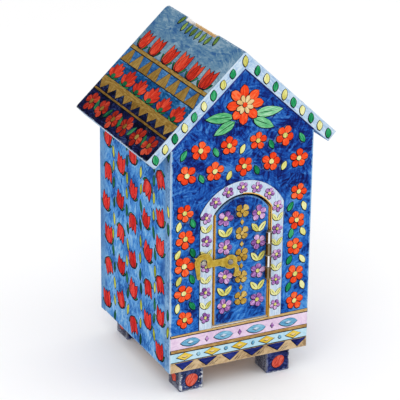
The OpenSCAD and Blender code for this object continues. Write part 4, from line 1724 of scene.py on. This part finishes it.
def slot_leaves(art, slot_side):
    """A row of leaves along the slot. The last one at each end stands higher, beside the slot's end."""
    row_v = -slot_side / math.cos(pitch) - SLOT_LEAF[0] / 2 - 0.5
    row_u = art.panel.spot(Vector((0, slot_mid * MM, roof_high.z)))[0]
    for k in range(SLOT_LEAVES):
        share = 2 * k / (SLOT_LEAVES - 1) - 1
        at_end = abs(share) == 1
        u = row_u + share * (slot_half + (3.0 if at_end else 2.2))
        leaf_mark(art, u, row_v + (2.2 if at_end else 0), *SLOT_LEAF, "moss_green",
                  art.chance.uniform(-14, 4) + 14 * share * at_end, ink=0.48)


for node, panel, seed in (("roof_left", ROOF_LEFT, 31), ("roof_right", ROOF_RIGHT, 32)):
    art = Painting(node + "_painting", panel, seed, depth / 2, -slope_l, 0)
    toothed_bands(art)
    for flower, row in ((tulip, TULIP_ROW), (fan, FAN_ROW)):
        for u in along_roof(ROOF_FLOWERS):
            flower(art, u, *row, "roof_red", lean=art.chance.uniform(-8, 8))
    for k, u in enumerate(along_roof(ROOF_FLOWERS)):
        blossom(art, *loosely(art, u, EAVE_BLOSSOMS), EAVE_BLOSSOM, "deep_red", turn=any_turn(art),
                eye="roof_tan")
        if k < ROOF_FLOWERS - 1:
            leaf_mark(art, u + ROOF_HALF / ROOF_FLOWERS, EAVE_LEAVES, 6.6, 2.5, "deep_green",
                      25 - 50 * (k % 2))
    slot_leaves(art, slot_sides[node])
    paintings[node] = art.build("case", "roof_paint")

# %% [markdown]
# Spots on the feet
# Each foot has a red spot on its two outer faces. The one on the end is larger.

# %% Paint the feet
SPOTS = ((7.2, 6.2), (5.2, 4.6))  # width and height of the spots on the end and on the side
SPOT_TURN = 30
SPOT_DOWN = 0.9  # how far below the middle of the foot a spot lies


def foot_spots(node, seed):
    low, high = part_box(node)
    middle = (low + high) / 2
    side = 1 if middle.x > 0 else -1
    end = 1 if middle.y > mid_y else -1
    panels = (
        Panel((middle.x, high.y if end > 0 else low.y, middle.z), (-end, 0, 0), (0, 0, 1)),
        Panel((high.x if side > 0 else low.x, middle.y, middle.z), (0, side, 0), (0, 0, 1)),
    )
    for index, panel in enumerate(panels):
        art = Painting(f"{node}_spot_{index + 1}", panel, seed + index, foot_h / 2, -foot_h / 2, foot_h / 2)
        spot = turned(oval(*SPOTS[index]), SPOT_TURN, (0, -SPOT_DOWN))
        art.dab(spot, "faded_red", along=2 * SPOT_TURN, ink=0.24, shake=0.35)
        art.build("case", "foot_paint")


for index, node in enumerate(FEET):
    foot_spots(node, 41 + 2 * index)

# %% [markdown]
# Halos
# Now that the paintings lie in place, every board learns how far its vertices are from the nearest
# dab. The ground's brush strokes and the bare slips beside the motifs read that.

# %% Carry the halos
for node, art in paintings.items():
    board = boards[node].data
    points = [v.co for v in art.data.vertices]
    set_values(board, "halo", nearest(points, [v.co for v in board.vertices], FAR))
print("halos carried by", len(paintings), "boards")

# %% [markdown]
# Floor
# The box stands on a plain pale sheet that runs far past the picture.

# %% Lay the floor
FLOOR_REACH = 4.0
WHITE_LOW = (0.955, 0.955, 0.955, 1.0)  # shares of the light that the sheet gives back
WHITE_HIGH = (0.975, 0.975, 0.975, 1.0)
FLOOR_CLOUD = 0.004  # how fast they change in a millimetre
floor_mesh = bpy.data.meshes.new("pale_floor")
floor_mesh.from_pydata([(-FLOOR_REACH, -FLOOR_REACH, 0), (FLOOR_REACH, -FLOOR_REACH, 0),
                        (FLOOR_REACH, FLOOR_REACH, 0), (-FLOOR_REACH, FLOOR_REACH, 0)], [], [(0, 1, 2, 3)])
pale, tree, shader = start_material("pale_floor", Roughness=0.9, Specular_IOR_Level=0.0)
cloud = noise(tree, own_place(tree), FLOOR_CLOUD)
join(tree, shader, Base_Color=ramp(tree, cloud, [WHITE_LOW, WHITE_HIGH]))
floor_mesh.materials.append(pale)
floor = bpy.data.objects.new("pale_floor", floor_mesh)
scene.collection.objects.link(floor)
print("floor laid")
